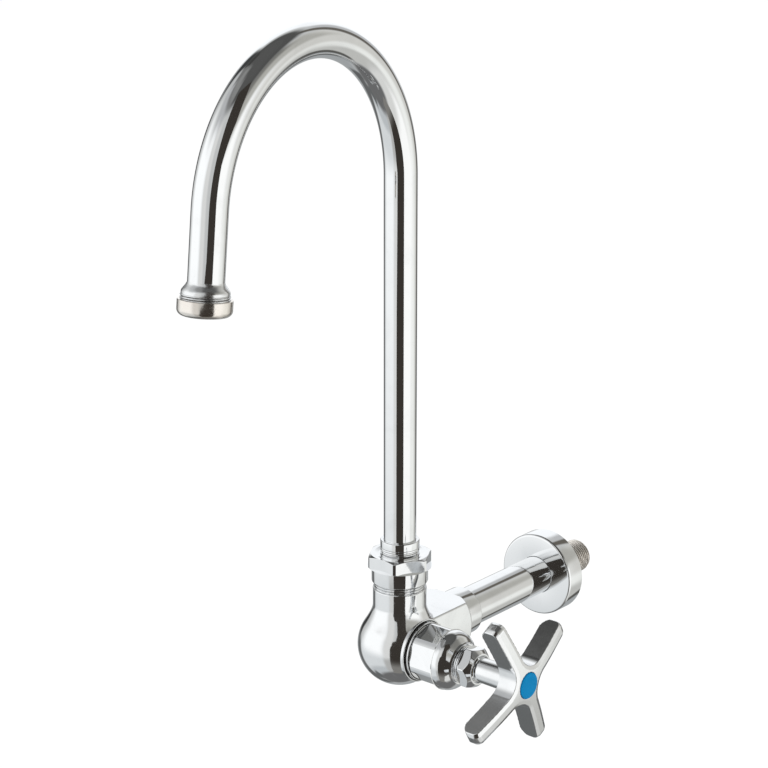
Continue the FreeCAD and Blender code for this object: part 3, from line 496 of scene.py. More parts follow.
def finer(line, length, low=-1e9, high=1e9):
    # more stations on the long runs of a line, between two heights
    out = [line[0]]
    for before, after in zip(line, line[1:]):
        parts = 1
        if min(before[1], after[1]) >= low and max(before[1], after[1]) <= high:
            parts = max(1, math.ceil(math.dist(before, after) / length))
        for part in range(1, parts + 1):
            share = part / parts
            out.append(tuple(one + (two - one) * share for one, two in zip(before, after)))
    return out


turnSteps = 160   # points round a plain turned piece


def turnedSkin(line, closed=False, angles=None, shape=None):
    # skin swept round the local Z axis; shape can bend a point (radius, along, angle)
    angles = angles or [2 * math.pi * step / turnSteps for step in range(turnSteps)]
    points, rows, faces = [], [], []
    for radius, along in line:
        if radius < 1e-6:
            rows.append([len(points)] * len(angles))
            points.append((0, 0, along * millimetre))
            continue
        rows.append(list(range(len(points), len(points) + len(angles))))
        for angle in angles:
            reach, height = shape(radius, along, angle) if shape else (radius, along)
            points.append((reach * math.cos(angle) * millimetre, reach * math.sin(angle) * millimetre,
                           height * millimetre))
    pairs = list(zip(rows, rows[1:]))
    if closed:
        pairs.append((rows[-1], rows[0]))
    for one, two in pairs:
        for column in range(len(angles)):
            following = (column + 1) % len(angles)
            corners = [one[column], one[following], two[following], two[column]]
            face = [corner for index, corner in enumerate(corners) if corner != corners[index - 1]]
            if len(face) > 2:
                faces.append(face)
    return points, faces


def turnedPiece(name, line, place, body, node, slotName, finish=None, closed=True, angles=None, shape=None,
                **how):
    points, faces = turnedSkin(line, closed, angles, shape)
    addPiece(name, points, faces, place, body, node, slotName, finish, **how)


hexagonSharp = 20   # degrees between two faces that still shade as one


def hexagonReach(flats, firstCorner, turned):
    # the corners are turned down to a circle
    half = flats / 2
    flatEnd = math.acos(half / turned)

    def reach(angle):
        across = (angle - math.radians(firstCorner)) % (math.pi / 3) - math.pi / 6
        return min(half / math.cos(across), turned)

    angles = []
    for side in range(6):
        middle = math.radians(firstCorner + 30 + 60 * side)
        angles += [middle + flatEnd * (2 * step / 30 - 1) for step in range(31)]
        gap = math.pi / 3 - 2 * flatEnd
        angles += [middle + flatEnd + gap * step / 6 for step in range(1, 6)]
    return reach, angles


def softLess(first, second, blend):
    share = max(blend - abs(first - second), 0) / blend
    return min(first, second) - share * share * blend / 4


def hexagonShape(reach, low, high, blend=0.35):
    # limits a turned line to a hexagon between two heights
    def shape(radius, along, angle):
        if low - 1e-6 <= along <= high + 1e-6:
            return softLess(radius, reach(angle), blend), along
        return radius, along
    return shape


def threadShape(crest, depth, pitch, low, high, runOut=0.8):
    # a helical V thread with a small flat on its crest
    def shape(radius, along, angle):
        if radius < crest - 0.05 or not low < along < high:
            return radius, along
        turnShare = (along / pitch - angle / (2 * math.pi)) % 1
        cut = max(0, 1 - abs(turnShare - 0.5) / 0.38)
        fade = min(1, (along - low) / runOut, (high - along) / runOut)
        return radius - depth * cut * fade, along
    return shape


# Spout tube
def makeSpoutTube(size):
    points, faces = [], []
    around = size.around
    stations = tubePath(size)
    loops = [(place, angle, size.radius) for place, angle in stations]
    loops += [(place, angle, size.radius - size.wall) for place, angle in reversed(stations)]
    for place, angle, radius in loops:
        outward = Vector((0, math.cos(angle), math.sin(angle)))
        for column in range(around):
            turnAngle = 2 * math.pi * column / around
            across = Vector((1, 0, 0)) * radius * math.cos(turnAngle)
            point = place + across + outward * radius * math.sin(turnAngle)
            points.append(point * millimetre)
    for row in range(len(loops)):
        below = (row + 1) % len(loops)
        for column in range(around):
            following = (column + 1) % around
            faces.append((row * around + column, row * around + following, below * around + following,
                          below * around + column))
    addPiece("spoutTube", points, faces, spoutFrame, "spout", "spout_tube", "chrome")


makeSpoutTube(read(spoutTube))
print("spout tube made")


# Outlet
outletAdapter = {"bore": 7.2, "spigot": 8.275, "spigotLength": 8.0, "tube": 9.525, "flare": 12.45,
                 "flareEnd": 5.6, "threadStart": 6.4, "threadEnd": 13.2, "threadRadius": 12.85,
                 "threadDepth": 0.7, "pitch": 1.25, "washerHole": 8.6, "funnel": 3.0}
size = read(outletAdapter)
bell = [(size.tube + (size.flare - size.tube) * (1 - math.cos(math.pi * step / 20)) / 2,
         size.flareEnd * step / 20) for step in range(21)]
line = [(size.bore, -size.spigotLength), (size.spigot, -size.spigotLength), (size.spigot, 0)] + bell
line += [(size.flare, size.threadStart), (size.threadRadius, size.threadStart),
         (size.threadRadius, size.threadEnd), (size.washerHole, size.threadEnd),
         (size.bore, size.threadEnd - size.funnel)]
line = finer(line, 0.16, size.threadStart, size.threadEnd)
threaded = threadShape(size.threadRadius, size.threadDepth, size.pitch, size.threadStart, size.threadEnd)
turnedPiece("outletAdapter", line, outletFrame, "spout", "outlet_adapter", "satin_nickel", "outletChrome",
            shape=threaded)

aeratorHousing = {"inside": 12.9, "start": 9.0, "outside": 14.2, "end": 17.5, "edge": 3.3, "opening": 9.95,
                  "ledge": 15.8}
size = read(aeratorHousing)
line = roundedLine([
    (size.inside, size.start), (size.outside, size.start, 0.35), (size.outside, size.end, size.edge),
    (size.opening, size.end, 0.3), (size.opening, size.ledge), (size.inside, size.ledge)], True, 10)
turnedPiece("aeratorHousing", line, outletFrame, "spout", "aerator_housing", "satin_nickel")
print("outlet made")


# Spout stem with the collar that holds the tube
spoutStem = {"bore": 6.5, "radius": 10.5, "foot": 22.4, "rings": (28.0, 35.0), "grooveHalf": 1.2,
             "grooveRadius": 8.68, "shoulder": 14.3, "shoulderFoot": 46.05, "shoulderTop": 49.45,
             "collar": 11.5, "collarTop": 66.0, "lines": (58.9, 60.1, 61.3), "lineHalf": 0.3,
             "lineRadius": 11.4, "socket": 9.575, "socketFloor": 54.0}
size = read(spoutStem)
corners = [(size.bore, size.foot), (size.radius, size.foot, 0.5)]
for middle in size.rings:
    corners += [(size.radius, middle - size.grooveHalf), (size.grooveRadius, middle - size.grooveHalf),
                (size.grooveRadius, middle + size.grooveHalf), (size.radius, middle + size.grooveHalf)]
corners += [(size.radius, size.shoulderFoot), (size.shoulder, size.shoulderFoot, 0.3),
            (size.shoulder, size.shoulderTop, 0.3), (size.collar, size.shoulderTop)]
for middle in size.lines:
    corners += [(size.collar, middle - size.lineHalf, 0.1), (size.lineRadius, middle),
                (size.collar, middle + size.lineHalf, 0.1)]
corners += [(size.collar, size.collarTop, 0.55), (size.socket, size.collarTop, 0.12),
            (size.socket, size.socketFloor), (size.bore, size.socketFloor)]
line = roundedLine(corners, True)
turnedPiece("spoutStem", line, spoutFrame, "spout", "spout_stem", "chromed_stem", "chrome")


# Swivel nut
swivelNut = {"skirt": 16.65, "skirtFoot": 40.2, "hexFoot": 49.7, "top": 57.5, "flats": 34.4, "corner": 19.745,
             "turned": 19.36, "topCut": 2.5, "topDrop": 1.2, "ceiling": 50.3, "threadBore": 15.55,
             "hole": 11.58, "dish": 15.0, "dishFloor": 56.7}
size = read(swivelNut)
overCorner = size.corner + 0.6
corners = [
    (size.threadBore, size.skirtFoot), (size.skirt, size.skirtFoot, 0.5),
    (size.skirt, size.hexFoot - 0.02), (size.corner - 0.6, size.hexFoot, 0.15),
    (overCorner, size.hexFoot + 0.9),
    (overCorner, size.top - size.topDrop * (size.topCut + 0.6) / size.topCut),
    (size.corner - size.topCut, size.top, 0.3), (size.dish, size.top, 0.2),
    (size.hole + 1.2, size.dishFloor, 0.2), (size.hole, size.dishFloor),
    (size.hole, size.ceiling), (size.threadBore, size.ceiling)]
reach, angles = hexagonReach(size.flats, 0, size.turned)
line = finer(roundedLine(corners, True), 0.12, size.hexFoot - 0.001, size.hexFoot + 0.91)
line = finer(line, 0.12, size.top - 1.6, size.top + 0.001)
turnedPiece("swivelNut", line, upFrame, "fixed", "swivel_nut", "chrome", angles=angles,
            shape=hexagonShape(reach, size.hexFoot, size.top), sharp=hexagonSharp)
print("swivel nut and spout stem made")


# Bonnet with its domed collar
bonnet = {"foot": 8.7, "thread": 14.9, "flangeFoot": 19.398, "flange": 17.6, "hexFoot": 20.698, "flats": 31.5,
          "corner": 18.187, "firstCorner": 17.5, "hexEnd": 37.998, "turned": 17.2, "dome": 17.9,
          "domeStraight": 5.0, "shoulder": 9.0, "top": 48.598, "noseFoot": 47.498, "nose": 12.2,
          "chamber": 9.8, "chamberEnd": 14.2, "stem": 7.08, "packingFloor": 35.998, "packing": 8.5,
          "glandFoot": 41.998, "gland": 11.25}
size = read(bonnet)
overCorner = size.corner + 0.6
corners = [
    (size.chamber, size.foot), (size.thread, size.foot, 0.4), (size.thread, size.flangeFoot),
    (size.flange, size.flangeFoot, 0.3), (size.flange, size.hexFoot - 0.35, 0.3),
    (size.corner - 2.0, size.hexFoot - 0.02), (size.corner - 2.0, size.hexFoot, 0.05),
    (overCorner, size.hexFoot + 1.95), (overCorner, size.hexEnd - 0.35), (size.corner - 0.3, size.hexEnd),
    (size.dome + 0.4, size.hexEnd + 0.02), (size.dome, size.hexEnd + 0.25, 0.2),
    (size.dome, size.hexEnd + size.domeStraight, size.shoulder),
    (size.nose + 0.6, size.noseFoot, 2.0), (size.nose, size.top, 0.2), (size.gland, size.top),
    (size.gland, size.glandFoot), (size.packing, size.glandFoot), (size.packing, size.packingFloor),
    (size.stem, size.packingFloor), (size.stem, size.chamberEnd), (size.chamber, size.chamberEnd)]
reach, angles = hexagonReach(size.flats, size.firstCorner, size.turned)
line = finer(roundedLine(corners, True, 14), 0.14, size.hexFoot - 0.001, size.hexFoot + 1.96)
line = finer(line, 0.1, size.hexEnd - 0.36, size.hexEnd + 0.001)
turnedPiece("bonnet", line, handleFrame, "fixed", "bonnet", "chrome", "bonnetChrome", angles=angles,
            shape=hexagonShape(reach, size.hexFoot, size.hexEnd), sharp=hexagonSharp)


# Gland nut
glandNut = {"foot": 42.398, "nose": 8.45, "noseFoot": 41.398, "thread": 11.2, "threadDepth": 0.8,
            "pitch": 1.25, "hexFoot": 52.498, "flats": 22.2, "corner": 12.817, "firstCorner": 48.5,
            "turned": 12.65, "top": 60.598, "face": 9.3, "domeDrop": 3.8, "recess": 8.2,
            "recessFloor": 56.998, "stem": 5.08}
size = read(glandNut)
slope = size.domeDrop / (size.corner - size.face)
overCorner = size.corner + 0.5
corners = [
    (size.stem, size.noseFoot), (size.nose, size.noseFoot), (size.nose, size.foot),
    (size.thread, size.foot), (size.thread, size.hexFoot - 0.02), (size.corner - 0.6, size.hexFoot, 0.1),
    (overCorner, size.hexFoot + 1.3), (overCorner, size.top - slope * (overCorner - size.face), 0.6),
    (size.face, size.top, 0.5), (size.recess, size.top, 0.2), (size.recess, size.recessFloor),
    (size.stem, size.recessFloor)]
reach, angles = hexagonReach(size.flats, size.firstCorner, size.turned)
threaded = threadShape(size.thread, size.threadDepth, size.pitch, size.foot, size.hexFoot - 0.05, 0.3)
limited = hexagonShape(reach, size.hexFoot, size.top)


def glandShape(radius, along, angle):
    return threaded(radius, along, angle) if along < size.hexFoot - 0.01 else limited(radius, along, angle)


line = finer(roundedLine(corners, True), 0.14, size.foot - 0.001, size.hexFoot + 1.31)
line = finer(line, 0.14, size.top - slope * (overCorner - size.face) - 0.01, size.top + 0.01)
turnedPiece("glandNut", line, handleFrame, "fixed", "gland_nut", "chrome", "glandChrome", angles=angles,
            shape=glandShape, sharp=hexagonSharp)
print("bonnet and gland nut made")


# Inlet pipe, collar, wall thread and flange
inletPipe = {"bore": 8.0, "start": 24.4, "thread": 10.2, "shoulder": 46.9, "radius": 12.0, "end": 147.0,
             "socket": 9.75, "socketFloor": 126.6}
size = read(inletPipe)
line = roundedLine([
    (size.bore, size.start), (size.thread, size.start, 0.5), (size.thread, size.shoulder),
    (size.radius, size.shoulder), (size.radius, size.end, 0.5), (size.socket, size.end),
    (size.socket, size.socketFloor), (size.bore, size.socketFloor)], True)
turnedPiece("inletPipe", line, inletFrame, "fixed", "inlet_pipe", "chrome")

inletCollar = {"bore": 12.05, "start": 46.9, "radius": 14.75, "end": 61.5}
size = read(inletCollar)
line = roundedLine([
    (size.bore, size.start), (size.radius, size.start, 0.4), (size.radius, size.end, 0.9),
    (size.bore, size.end, 0.15)], True, 8)
turnedPiece("inletCollar", line, inletFrame, "fixed", "inlet_collar", "chrome")

wallNipple = {"bore": 7.6, "start": 127.0, "spigot": 9.7, "threadStart": 147.4, "radius": 10.478,
              "depth": 1.16, "pitch": 1.814, "threadEnd": 181.4, "end": 182.4, "lead": 9.73}
size = read(wallNipple)
line = finer(roundedLine([
    (size.bore, size.start), (size.spigot, size.start, 0.4), (size.spigot, size.threadStart),
    (size.radius, size.threadStart), (size.radius, size.threadEnd), (size.lead, size.end, 0.2),
    (size.bore, size.end)], True), 0.17, size.threadStart - 0.01, size.threadEnd + 0.01)
threaded = threadShape(size.radius, size.depth, size.pitch, size.threadStart - 0.5, size.threadEnd + 0.5)
turnedPiece("wallNipple", line, inletFrame, "fixed", "wall_nipple", "satin_nickel", "threadNickel",
            shape=threaded)

wallFlange = {"hole": 12.08, "face": 136.65, "radius": 26.5, "edge": 1.6, "wall": 150.0, "inside": 24.9,
              "back": 138.25, "hub": 15.8, "hubEnd": 145.65, "groove": 13.89, "grooveFoot": 141.5,
              "grooveTop": 143.7}
size = read(wallFlange)
line = roundedLine([
    (size.hole, size.face, 0.3), (size.radius, size.face, size.edge), (size.radius, size.wall, 0.2),
    (size.inside, size.wall, 0.2), (size.inside, size.back, 0.8), (size.hub, size.back),
    (size.hub, size.hubEnd), (size.hole, size.hubEnd), (size.hole, size.grooveTop),
    (size.groove, size.grooveTop), (size.groove, size.grooveFoot), (size.hole, size.grooveFoot)],
    True, 8)
turnedPiece("wallFlange", line, inletFrame, "flange", "wall_flange", "chrome")
print("inlet and flange made")


# Shaped castings, from a field that is negative inside the metal
slant = 0.7071   # sine and cosine of 45 degrees


def joined(first, second, fillet):
    # union with a round fillet
    sharpJoin = np.maximum(np.minimum(first, second), fillet)
    return sharpJoin - np.hypot(np.maximum(fillet - first, 0), np.maximum(fillet - second, 0))


def shared(first, second, edge):
    # common part with a round edge
    return -joined(-first, -second, edge)


def without(solid, hole, edge):
    return shared(solid, -hole, edge)


def bore(across, along, radius, low, high):
    return np.maximum(across - radius, np.maximum(low - along, along - high))


def slopeOf(field, points, step=0.02):
    slopes = []
    for axis in range(3):
        shift = np.zeros(3)
        shift[axis] = step
        slopes.append((field(points + shift) - field(points - shift)) / (2 * step))
    return np.stack(slopes, -1)


def skinOfField(field, low, high, cell):
    # one point in each cell that the surface crosses, joined by quads and drawn onto the surface
    axes = [np.arange(start, end + cell, cell) for start, end in zip(low, high)]
    grid = np.stack(np.meshgrid(*axes, indexing="ij"), -1)
    value = field(grid)
    inside = value < 0
    cells = np.array(inside.shape) - 1
    corners = [(x, y, z) for x in (0, 1) for y in (0, 1) for z in (0, 1)]

    def atCorner(data, corner):
        return data[tuple(slice(start, start + size) for start, size in zip(corner, cells))]

    filled = sum(atCorner(inside, corner).astype(int) for corner in corners)
    crossed = (filled > 0) & (filled < 8)
    number = np.full(crossed.shape, -1)
    number[crossed] = np.arange(crossed.sum())
    total = np.zeros((crossed.sum(), 3))
    hits = np.zeros(crossed.sum())
    for one in corners:
        for two in corners:
            if sum(two) - sum(one) != 1 or any(b < a for a, b in zip(one, two)):
                continue
            first = atCorner(value, one)[crossed]
            second = atCorner(value, two)[crossed]
            cut = (first < 0) != (second < 0)
            share = np.where(cut, first / np.where(cut, first - second, 1), 0)
            place = np.array(one) + share[:, None] * (np.array(two) - np.array(one))
            total += np.where(cut[:, None], place, 0)
            hits += cut
    points = np.array(low) + (np.argwhere(crossed) + total / hits[:, None]) * cell
    faces = []
    for axis in range(3):
        one, two = [side for side in range(3) if side != axis]
        first = np.take(inside, np.arange(inside.shape[axis] - 1), axis)
        second = np.take(inside, np.arange(1, inside.shape[axis]), axis)
        edges = np.argwhere(first != second)
        edges = edges[(edges[:, one] > 0) & (edges[:, two] > 0)]
        around = []
        for back, across in ((1, 1), (0, 1), (0, 0), (1, 0)):
            spot = edges.copy()
            spot[:, one] -= back
            spot[:, two] -= across
            around.append(number[tuple(spot.T)])
        quads = np.stack(around, 1)
        leaving = first[tuple(edges.T)]
        flip = leaving if axis == 1 else ~leaving
        quads[flip] = quads[flip][:, ::-1]
        faces.append(quads)
    for _ in range(5):
        slope = slopeOf(field, points)
        points = points - slope * (field(points) / np.maximum((slope ** 2).sum(-1), 0.2))[:, None]
    slope = slopeOf(field, points)
    normals = slope / np.maximum(np.linalg.norm(slope, axis=-1, keepdims=True), 1e-9)
    return points * millimetre, np.concatenate(faces).tolist(), normals


# Ball body
ballBody = {"ball": 25.0, "neck": 15.9, "neckTop": 36.0, "neckFillet": 5.0, "threadRadius": 14.85,
            "threadTop": 45.0, "armWide": 17.9, "armHigh": 16.9, "crown": 0.7, "armEdge": 1.0,
            "armEnd": 46.0, "armEndRadius": 18.6, "armFillet": 1.6, "port": 18.5, "portFace": 18.1,
            "portRing": 19.02, "cell": 0.55, "upHoles": [(10.58, 22.0, 60)],
            "sideHoles": [(14.95, 8.3, 40), (12.0, 3.0, 9), (7.55, -2.8, 4)],
            "inletHoles": [(10.25, 24.0, 60), (8.0, 16.5, 25)]}


def ballField(point):
    size = read(ballBody)
    x, y, z = point[..., 0], point[..., 1], point[..., 2]
    fromUp, fromSide = np.hypot(x, y), np.hypot(y, z)
    fromInlet = np.hypot(x, z - 1.5)
    ball = np.sqrt(x * x + y * y + z * z) - size.ball
    neck = shared(np.maximum(fromUp - size.neck, -z), z - size.neckTop, 0.4)
    thread = np.maximum(fromUp - size.threadRadius, np.maximum(-z, z - size.threadTop))
    solid = joined(ball, neck, size.neckFillet)
    wide = np.abs(x) - size.armWide - size.crown * (1 - (z / size.armHigh) ** 2)
    high = np.abs(z) - size.armHigh - size.crown * (1 - (x / size.armWide) ** 2)
    arm = np.maximum(shared(wide, high, size.armEdge), 1 - y)
    arm = shared(arm, (fromInlet + y - size.armEndRadius - size.armEnd) * slant, 0.5)
    arm = shared(arm, y - size.armEnd, 0.4)
    solid = joined(solid, arm, size.armFillet)
    solid = np.minimum(solid, np.maximum(fromSide - size.port, -x))
    solid = without(solid, np.maximum(fromSide - size.portRing, size.portFace - x), 0.12)
    solid = np.minimum(solid, thread)
    # each hole is (radius, start, end)
    for across, along, holes in ((fromUp, z, size.upHoles), (fromSide, x, size.sideHoles),
                                 (fromInlet, y, size.inletHoles)):
        for hole in holes:
            solid = np.maximum(solid, -bore(across, along, *hole))
    return solid


points, faces, normals = skinOfField(ballField, (-26, -26, -26), (26, 47, 46), ballBody["cell"])
addPiece("ballBody", points, faces, upFrame, "fixed", "valve_body", "chrome", "ballChrome", normals=normals)

portRing = {"inside": 14.97, "foot": 12.0, "radius": 19.0, "face": 18.298, "edge": 0.45}
size = read(portRing)
line = roundedLine([(size.inside, size.foot), (size.radius, size.foot),
                    (size.radius, size.face, size.edge), (size.inside, size.face)], True, 8)
turnedPiece("portRing", line, handleFrame, "fixed", "valve_body", "chrome", "portChrome")

neckThread = {"radius": 15.5, "depth": 0.95, "pitch": 1.5, "foot": 35.9, "top": 44.98, "core": 14.7}
size = read(neckThread)
line = finer(roundedLine([(size.core, size.foot), (size.radius, size.foot), (size.radius, size.top),
                          (size.core, size.top)], True), 0.17, size.foot - 0.01, size.top + 0.01)
threaded = threadShape(size.radius, size.depth, size.pitch, size.foot, size.top, 0.3)
turnedPiece("neckThread", line, upFrame, "fixed", "valve_body", "chrome", "neckChrome", shape=threaded)
print("ball body made")


# Cross handle
crossHandle = {"hubRear": 57.798, "hubRearRadius": 7.2, "hubRadius": 7.6, "rear": 82.598, "front": 95.898,
               "half": 4.4, "reach": 46.0, "blend": 12.3, "flat": 10.0, "frontSweep": 5.6, "rearSweep": 4.0,
               "tipFront": 4.0, "tipRear": 7.2, "bevelAcross": 2.4, "bevelDeep": 0.95, "edge": 0.3,
               "hubFillet": 1.6, "hubEdge": 4.6, "seat": 7.65, "seatFloor": 93.6, "lip": 0.7, "cell": 0.5,
               "holes": [(5.05, 50, 83.2), (5.9, 90.0, 94)]}


def crossField(point):
    size = read(crossHandle)
    x, y, z = point[..., 0], point[..., 1], point[..., 2]
    across = np.hypot(x, y)
    star = joined(np.abs(y) - size.half, np.abs(x) - size.half, size.blend)
    lean = math.atan2(size.frontSweep, size.reach - size.flat)
    sweptFront = (z - size.front) * math.cos(lean) + (across - size.flat) * math.sin(lean)
    front = shared(z - size.front, sweptFront, 4.0)
    lean = math.atan2(size.rearSweep, size.reach - size.tipRear - size.flat)
    sweptRear = (size.rear - z) * math.cos(lean) - (across - size.flat) * math.sin(lean)
    rear = joined(size.rear - z, sweptRear, 3.0)
    tip = across - size.reach
    rear = shared(np.maximum(rear, size.rear - size.rearSweep - z), tip, size.tipRear)
    front = shared(front, tip, size.tipFront)
    wide, deep = size.bevelAcross, size.bevelDeep
    bevel = (star * deep + front * wide + wide * deep) / math.hypot(wide, deep)
    body = shared(np.maximum(star, rear), np.maximum(front, bevel), size.edge)
    hubWide = size.hubRearRadius + (size.hubRadius - size.hubRearRadius) * np.clip(
        (z - size.hubRear) / (size.rear - size.hubRear), 0, 1)
    hub = shared(np.maximum(across - hubWide, z - size.rear - 3), size.hubRear - z, size.hubEdge)
    solid = joined(body, hub, size.hubFillet)
    seat = np.minimum(bore(across, z, size.seat, size.seatFloor, 100),
                      (across - z + size.front - size.seat - size.lip) * slant)
    solid = without(solid, seat, 0.15)
    for hole in size.holes:
        solid = np.maximum(solid, -bore(across, z, *hole))
    return solid


points, faces, normals = skinOfField(crossField, (-47, -47, 57), (47, 47, 97), crossHandle["cell"])
addPiece("crossHandle", points, faces, crossFrame, "handle", "cross_handle", "chrome", "handleChrome",
         normals=normals)

indexButton = {"radius": 7.6, "back": 93.598, "edge": 95.548, "front": 95.898, "ringOuter": 5.85,
               "ringInner": 5.05, "ringFoot": 92.398}
size = read(indexButton)
crown = [(size.radius * share, size.front - (size.front - size.edge) * share ** 2)
         for share in (0.93, 0.8, 0.65, 0.5, 0.35, 0.2, 0.1)]
line = [(0, size.back), (size.ringInner, size.back), (size.ringInner, size.ringFoot),
        (size.ringOuter, size.ringFoot), (size.ringOuter, size.back), (size.radius, size.back)]
line += roundedLine([(size.radius, size.back), (size.radius, size.edge, 0.35), crown[0]])[1:] + crown[1:]
line.append((0, size.front))
turnedPiece("indexButton", line, handleFrame, "handle", "index_button", "blue_plastic", closed=False)
print("cross handle made")


# Studio
# Directions are degrees: 0 looks into the wall, 90 along the handle, 180 away from the wall.
studioGain = 1.14   # makes up for the light that chrome swallows
studio = {
    "gain": studioGain,
    "background": (1.0, 1.0, 1.0),
    "softLight": (0.78, 0.79, 0.80),
    "room": linear(190, 191, 190, studioGain),
    "patches": [
        # name, middle and half width, middle and half height, soft edge across and up, screen colour
        ("wallLower", 29, 20, -36, 26, 6, 8, (186, 186, 182)),
        ("wallLowerRight", 84, 38, -40, 26, 8, 10, (212, 212, 209)),
        ("lowBright", 94, 32, -22, 16, 10, 8, (251, 251, 249)),
        ("wallMiddle", 29, 20, 10, 26, 6, 8, (203, 202, 197)),
        ("wallLowerTop", 44, 18, -17, 9, 12, 6, (234, 235, 231)),
        ("wallFade", 70, 50, 30, 14, 8, 6, (172, 171, 165)),
        ("wallBright", 80, 30, 0, 16, 16, 7, (254, 254, 252)),
        ("wallHigh", 76, 38, 43, 8, 10, 6, (120, 119, 115)),
        ("whitePanel", -38, 24, 17, 22, 4, 5, (248, 250, 252)),
        ("panelShade", -10, 10, 20, 22, 6, 6, (184, 185, 186)),
        ("mottledFloor", -34, 42, -38, 22, 6, 8, (156, 159, 160)),
        ("softBoxTop", -140, 46, 54, 12, 10, 7, (178, 179, 180)),
        ("paleFloor", -138, 47, -29, 20, 6, 6, (211, 214, 215)),
        ("softBoxUpper", -162, 14, 36, 10, 10, 8, (238, 239, 239)),
        ("softBox", -138, 37, 8, 26, 15, 12, (254, 255, 255)),
        ("lowFloor", -138, 47, -56, 9, 6, 5, (184, 188, 190)),
        ("paleBack", 172, 12, 12, 38, 6, 8, (214, 214, 212)),
        ("paleBackLow", 172, 14, -45, 20, 6, 7, (176, 176, 174)),
        ("thinFlag", -73, 9, 34, 20, 4, 7, (60, 61, 62)),
        ("sideFlag", -69, 11, -3, 13, 4, 5, (56, 56, 56)),
        ("lowFlag", -77, 12, -36, 24, 5, 6, (98, 99, 99)),
        ("lowFlagFar", -60, 9, -50, 14, 4, 6, (94, 95, 95)),
        ("behindObject", -10, 10, -18, 14, 6, 5, (96, 96, 96)),
        ("brownFlag", 2.5, 6.5, 16, 38, 3, 6, (98, 94, 88)),
        ("lowLine", 7, 6, -40, 18, 3, 5, (86, 85, 82)),
        ("ceiling", 0, 180, 80, 20, 1, 6, (82, 82, 81)),
        ("ceilingLeft", -142, 54, 71, 9, 12, 6, (132, 132, 131)),
        ("ceilingBand", 12, 100, 57, 9, 8, 5, (78, 78, 77)),
        ("aboveCross", -93, 12, 58, 7, 4, 3, (117, 117, 116)),
        ("aboveCrossFar", -74.5, 10, 58, 7, 1.5, 3, (62, 62, 61)),
        ("belowCross", -96, 17, -60, 7, 5, 3, (98, 100, 100)),
        ("floorBelow", 0, 180, -80, 17, 1, 5, (104, 104, 104)),
    ],
}


def directionPatch():
    group, entry, out = newGroup(
        "directionPatch",
        {"Turn": 0.0, "Height": 0.0, "Turn Middle": 0.0, "Turn Half": 10.0, "Height Middle": 0.0,
         "Height Half": 10.0, "Turn Soft": 3.0, "Height Soft": 3.0}, ["Mask"])
    away = mathNode(group, "SUBTRACT", entry.outputs["Turn"], entry.outputs["Turn Middle"])
    wrapped = mathNode(group, "ABSOLUTE", mathNode(group, "WRAP", away, 180, -180))
    acrossGap = mathNode(group, "SUBTRACT", entry.outputs["Turn Half"], wrapped)
    upward = mathNode(group, "SUBTRACT", entry.outputs["Height"], entry.outputs["Height Middle"])
    upGap = mathNode(group, "SUBTRACT", entry.outputs["Height Half"], mathNode(group, "ABSOLUTE", upward))
    masks = []
    for gap, soft in ((acrossGap, "Turn Soft"), (upGap, "Height Soft")):
        share = mathNode(group, "DIVIDE", gap, entry.outputs[soft])
        masks.append(rangeNode(group, share, -1, 1, 0, 1, True))
    feed(group, mathNode(group, "MULTIPLY", masks[0], masks[1]), out.inputs["Mask"])
    return group


def makeWorld(settings):
    world = bpy.data.worlds.new("studio")
    world.use_nodes = True
    bpy.context.scene.world = world
    tree = world.node_tree
    tree.nodes.clear()
    where = addNode(tree, "ShaderNodeTexCoord")
    parts = addNode(tree, "ShaderNodeSeparateXYZ")
    feed(tree, where.outputs["Generated"], parts.inputs[0])
    turnAngle = mathNode(tree, "DEGREES", mathNode(tree, "ARCTAN2", parts.outputs[0], parts.outputs[1]))
    heightAngle = mathNode(tree, "DEGREES", mathNode(tree, "ARCSINE", parts.outputs[2]))
    patchGroup = directionPatch()
    seen = settings["room"]
    for name, *numbers, colour in settings["patches"]:
        node = addNode(tree, "ShaderNodeGroup", node_tree=patchGroup, label=name)
        for socket, number in zip(list(node.inputs)[2:], numbers):
            socket.default_value = number
        feed(tree, turnAngle, node.inputs["Turn"])
        feed(tree, heightAngle, node.inputs["Height"])
        seen = mixColour(tree, node.outputs["Mask"], seen, linear(*colour, settings["gain"]))
    path = addNode(tree, "ShaderNodeLightPath")
    shiny = mathNode(tree, "MAXIMUM", path.outputs["Is Glossy Ray"], path.outputs["Is Transmission Ray"])
    colour = mixColour(tree, shiny, settings["softLight"], seen)
    colour = mixColour(tree, path.outputs["Is Camera Ray"], colour, settings["background"])
    light = addNode(tree, "ShaderNodeBackground")
    feed(tree, colour, light.inputs["Color"])
    out = addNode(tree, "ShaderNodeOutputWorld")
    feed(tree, light.outputs[0], out.inputs[0])


makeWorld(studio)

# A dark card that leans, as seen from the riser: sideways and up in metres.
darkCard = {"place": (0.324, -0.535), "colour": linear(55, 51, 47, studioGain),
            "lowColour": linear(124, 122, 118, studioGain),
            "outline": [(-0.21, -1.3), (0.25, -1.3), (0.25, 0.05), (0.21, 0.13), (0.205, 0.20), (0.18, 0.226),
                        (0.105, 0.25), (0.055, 0.60), (0.055, 1.30), (-0.50, 1.30), (-0.50, 0.62),
                        (-0.21, 0.42)],
            "fadeFrom": -0.22, "fadeTo": -0.62}


def stagePiece(name, points, material, hidden=()):
    mesh = bpy.data.meshes.new(name)
    mesh.from_pydata(points, [], [tuple(range(len(points)))])
    mesh.materials.append(material)
    piece = bpy.data.objects.new(name, mesh)
    bpy.context.scene.collection.objects.link(piece)
    for ray in hidden:
        setattr(piece, "visible_" + ray, False)


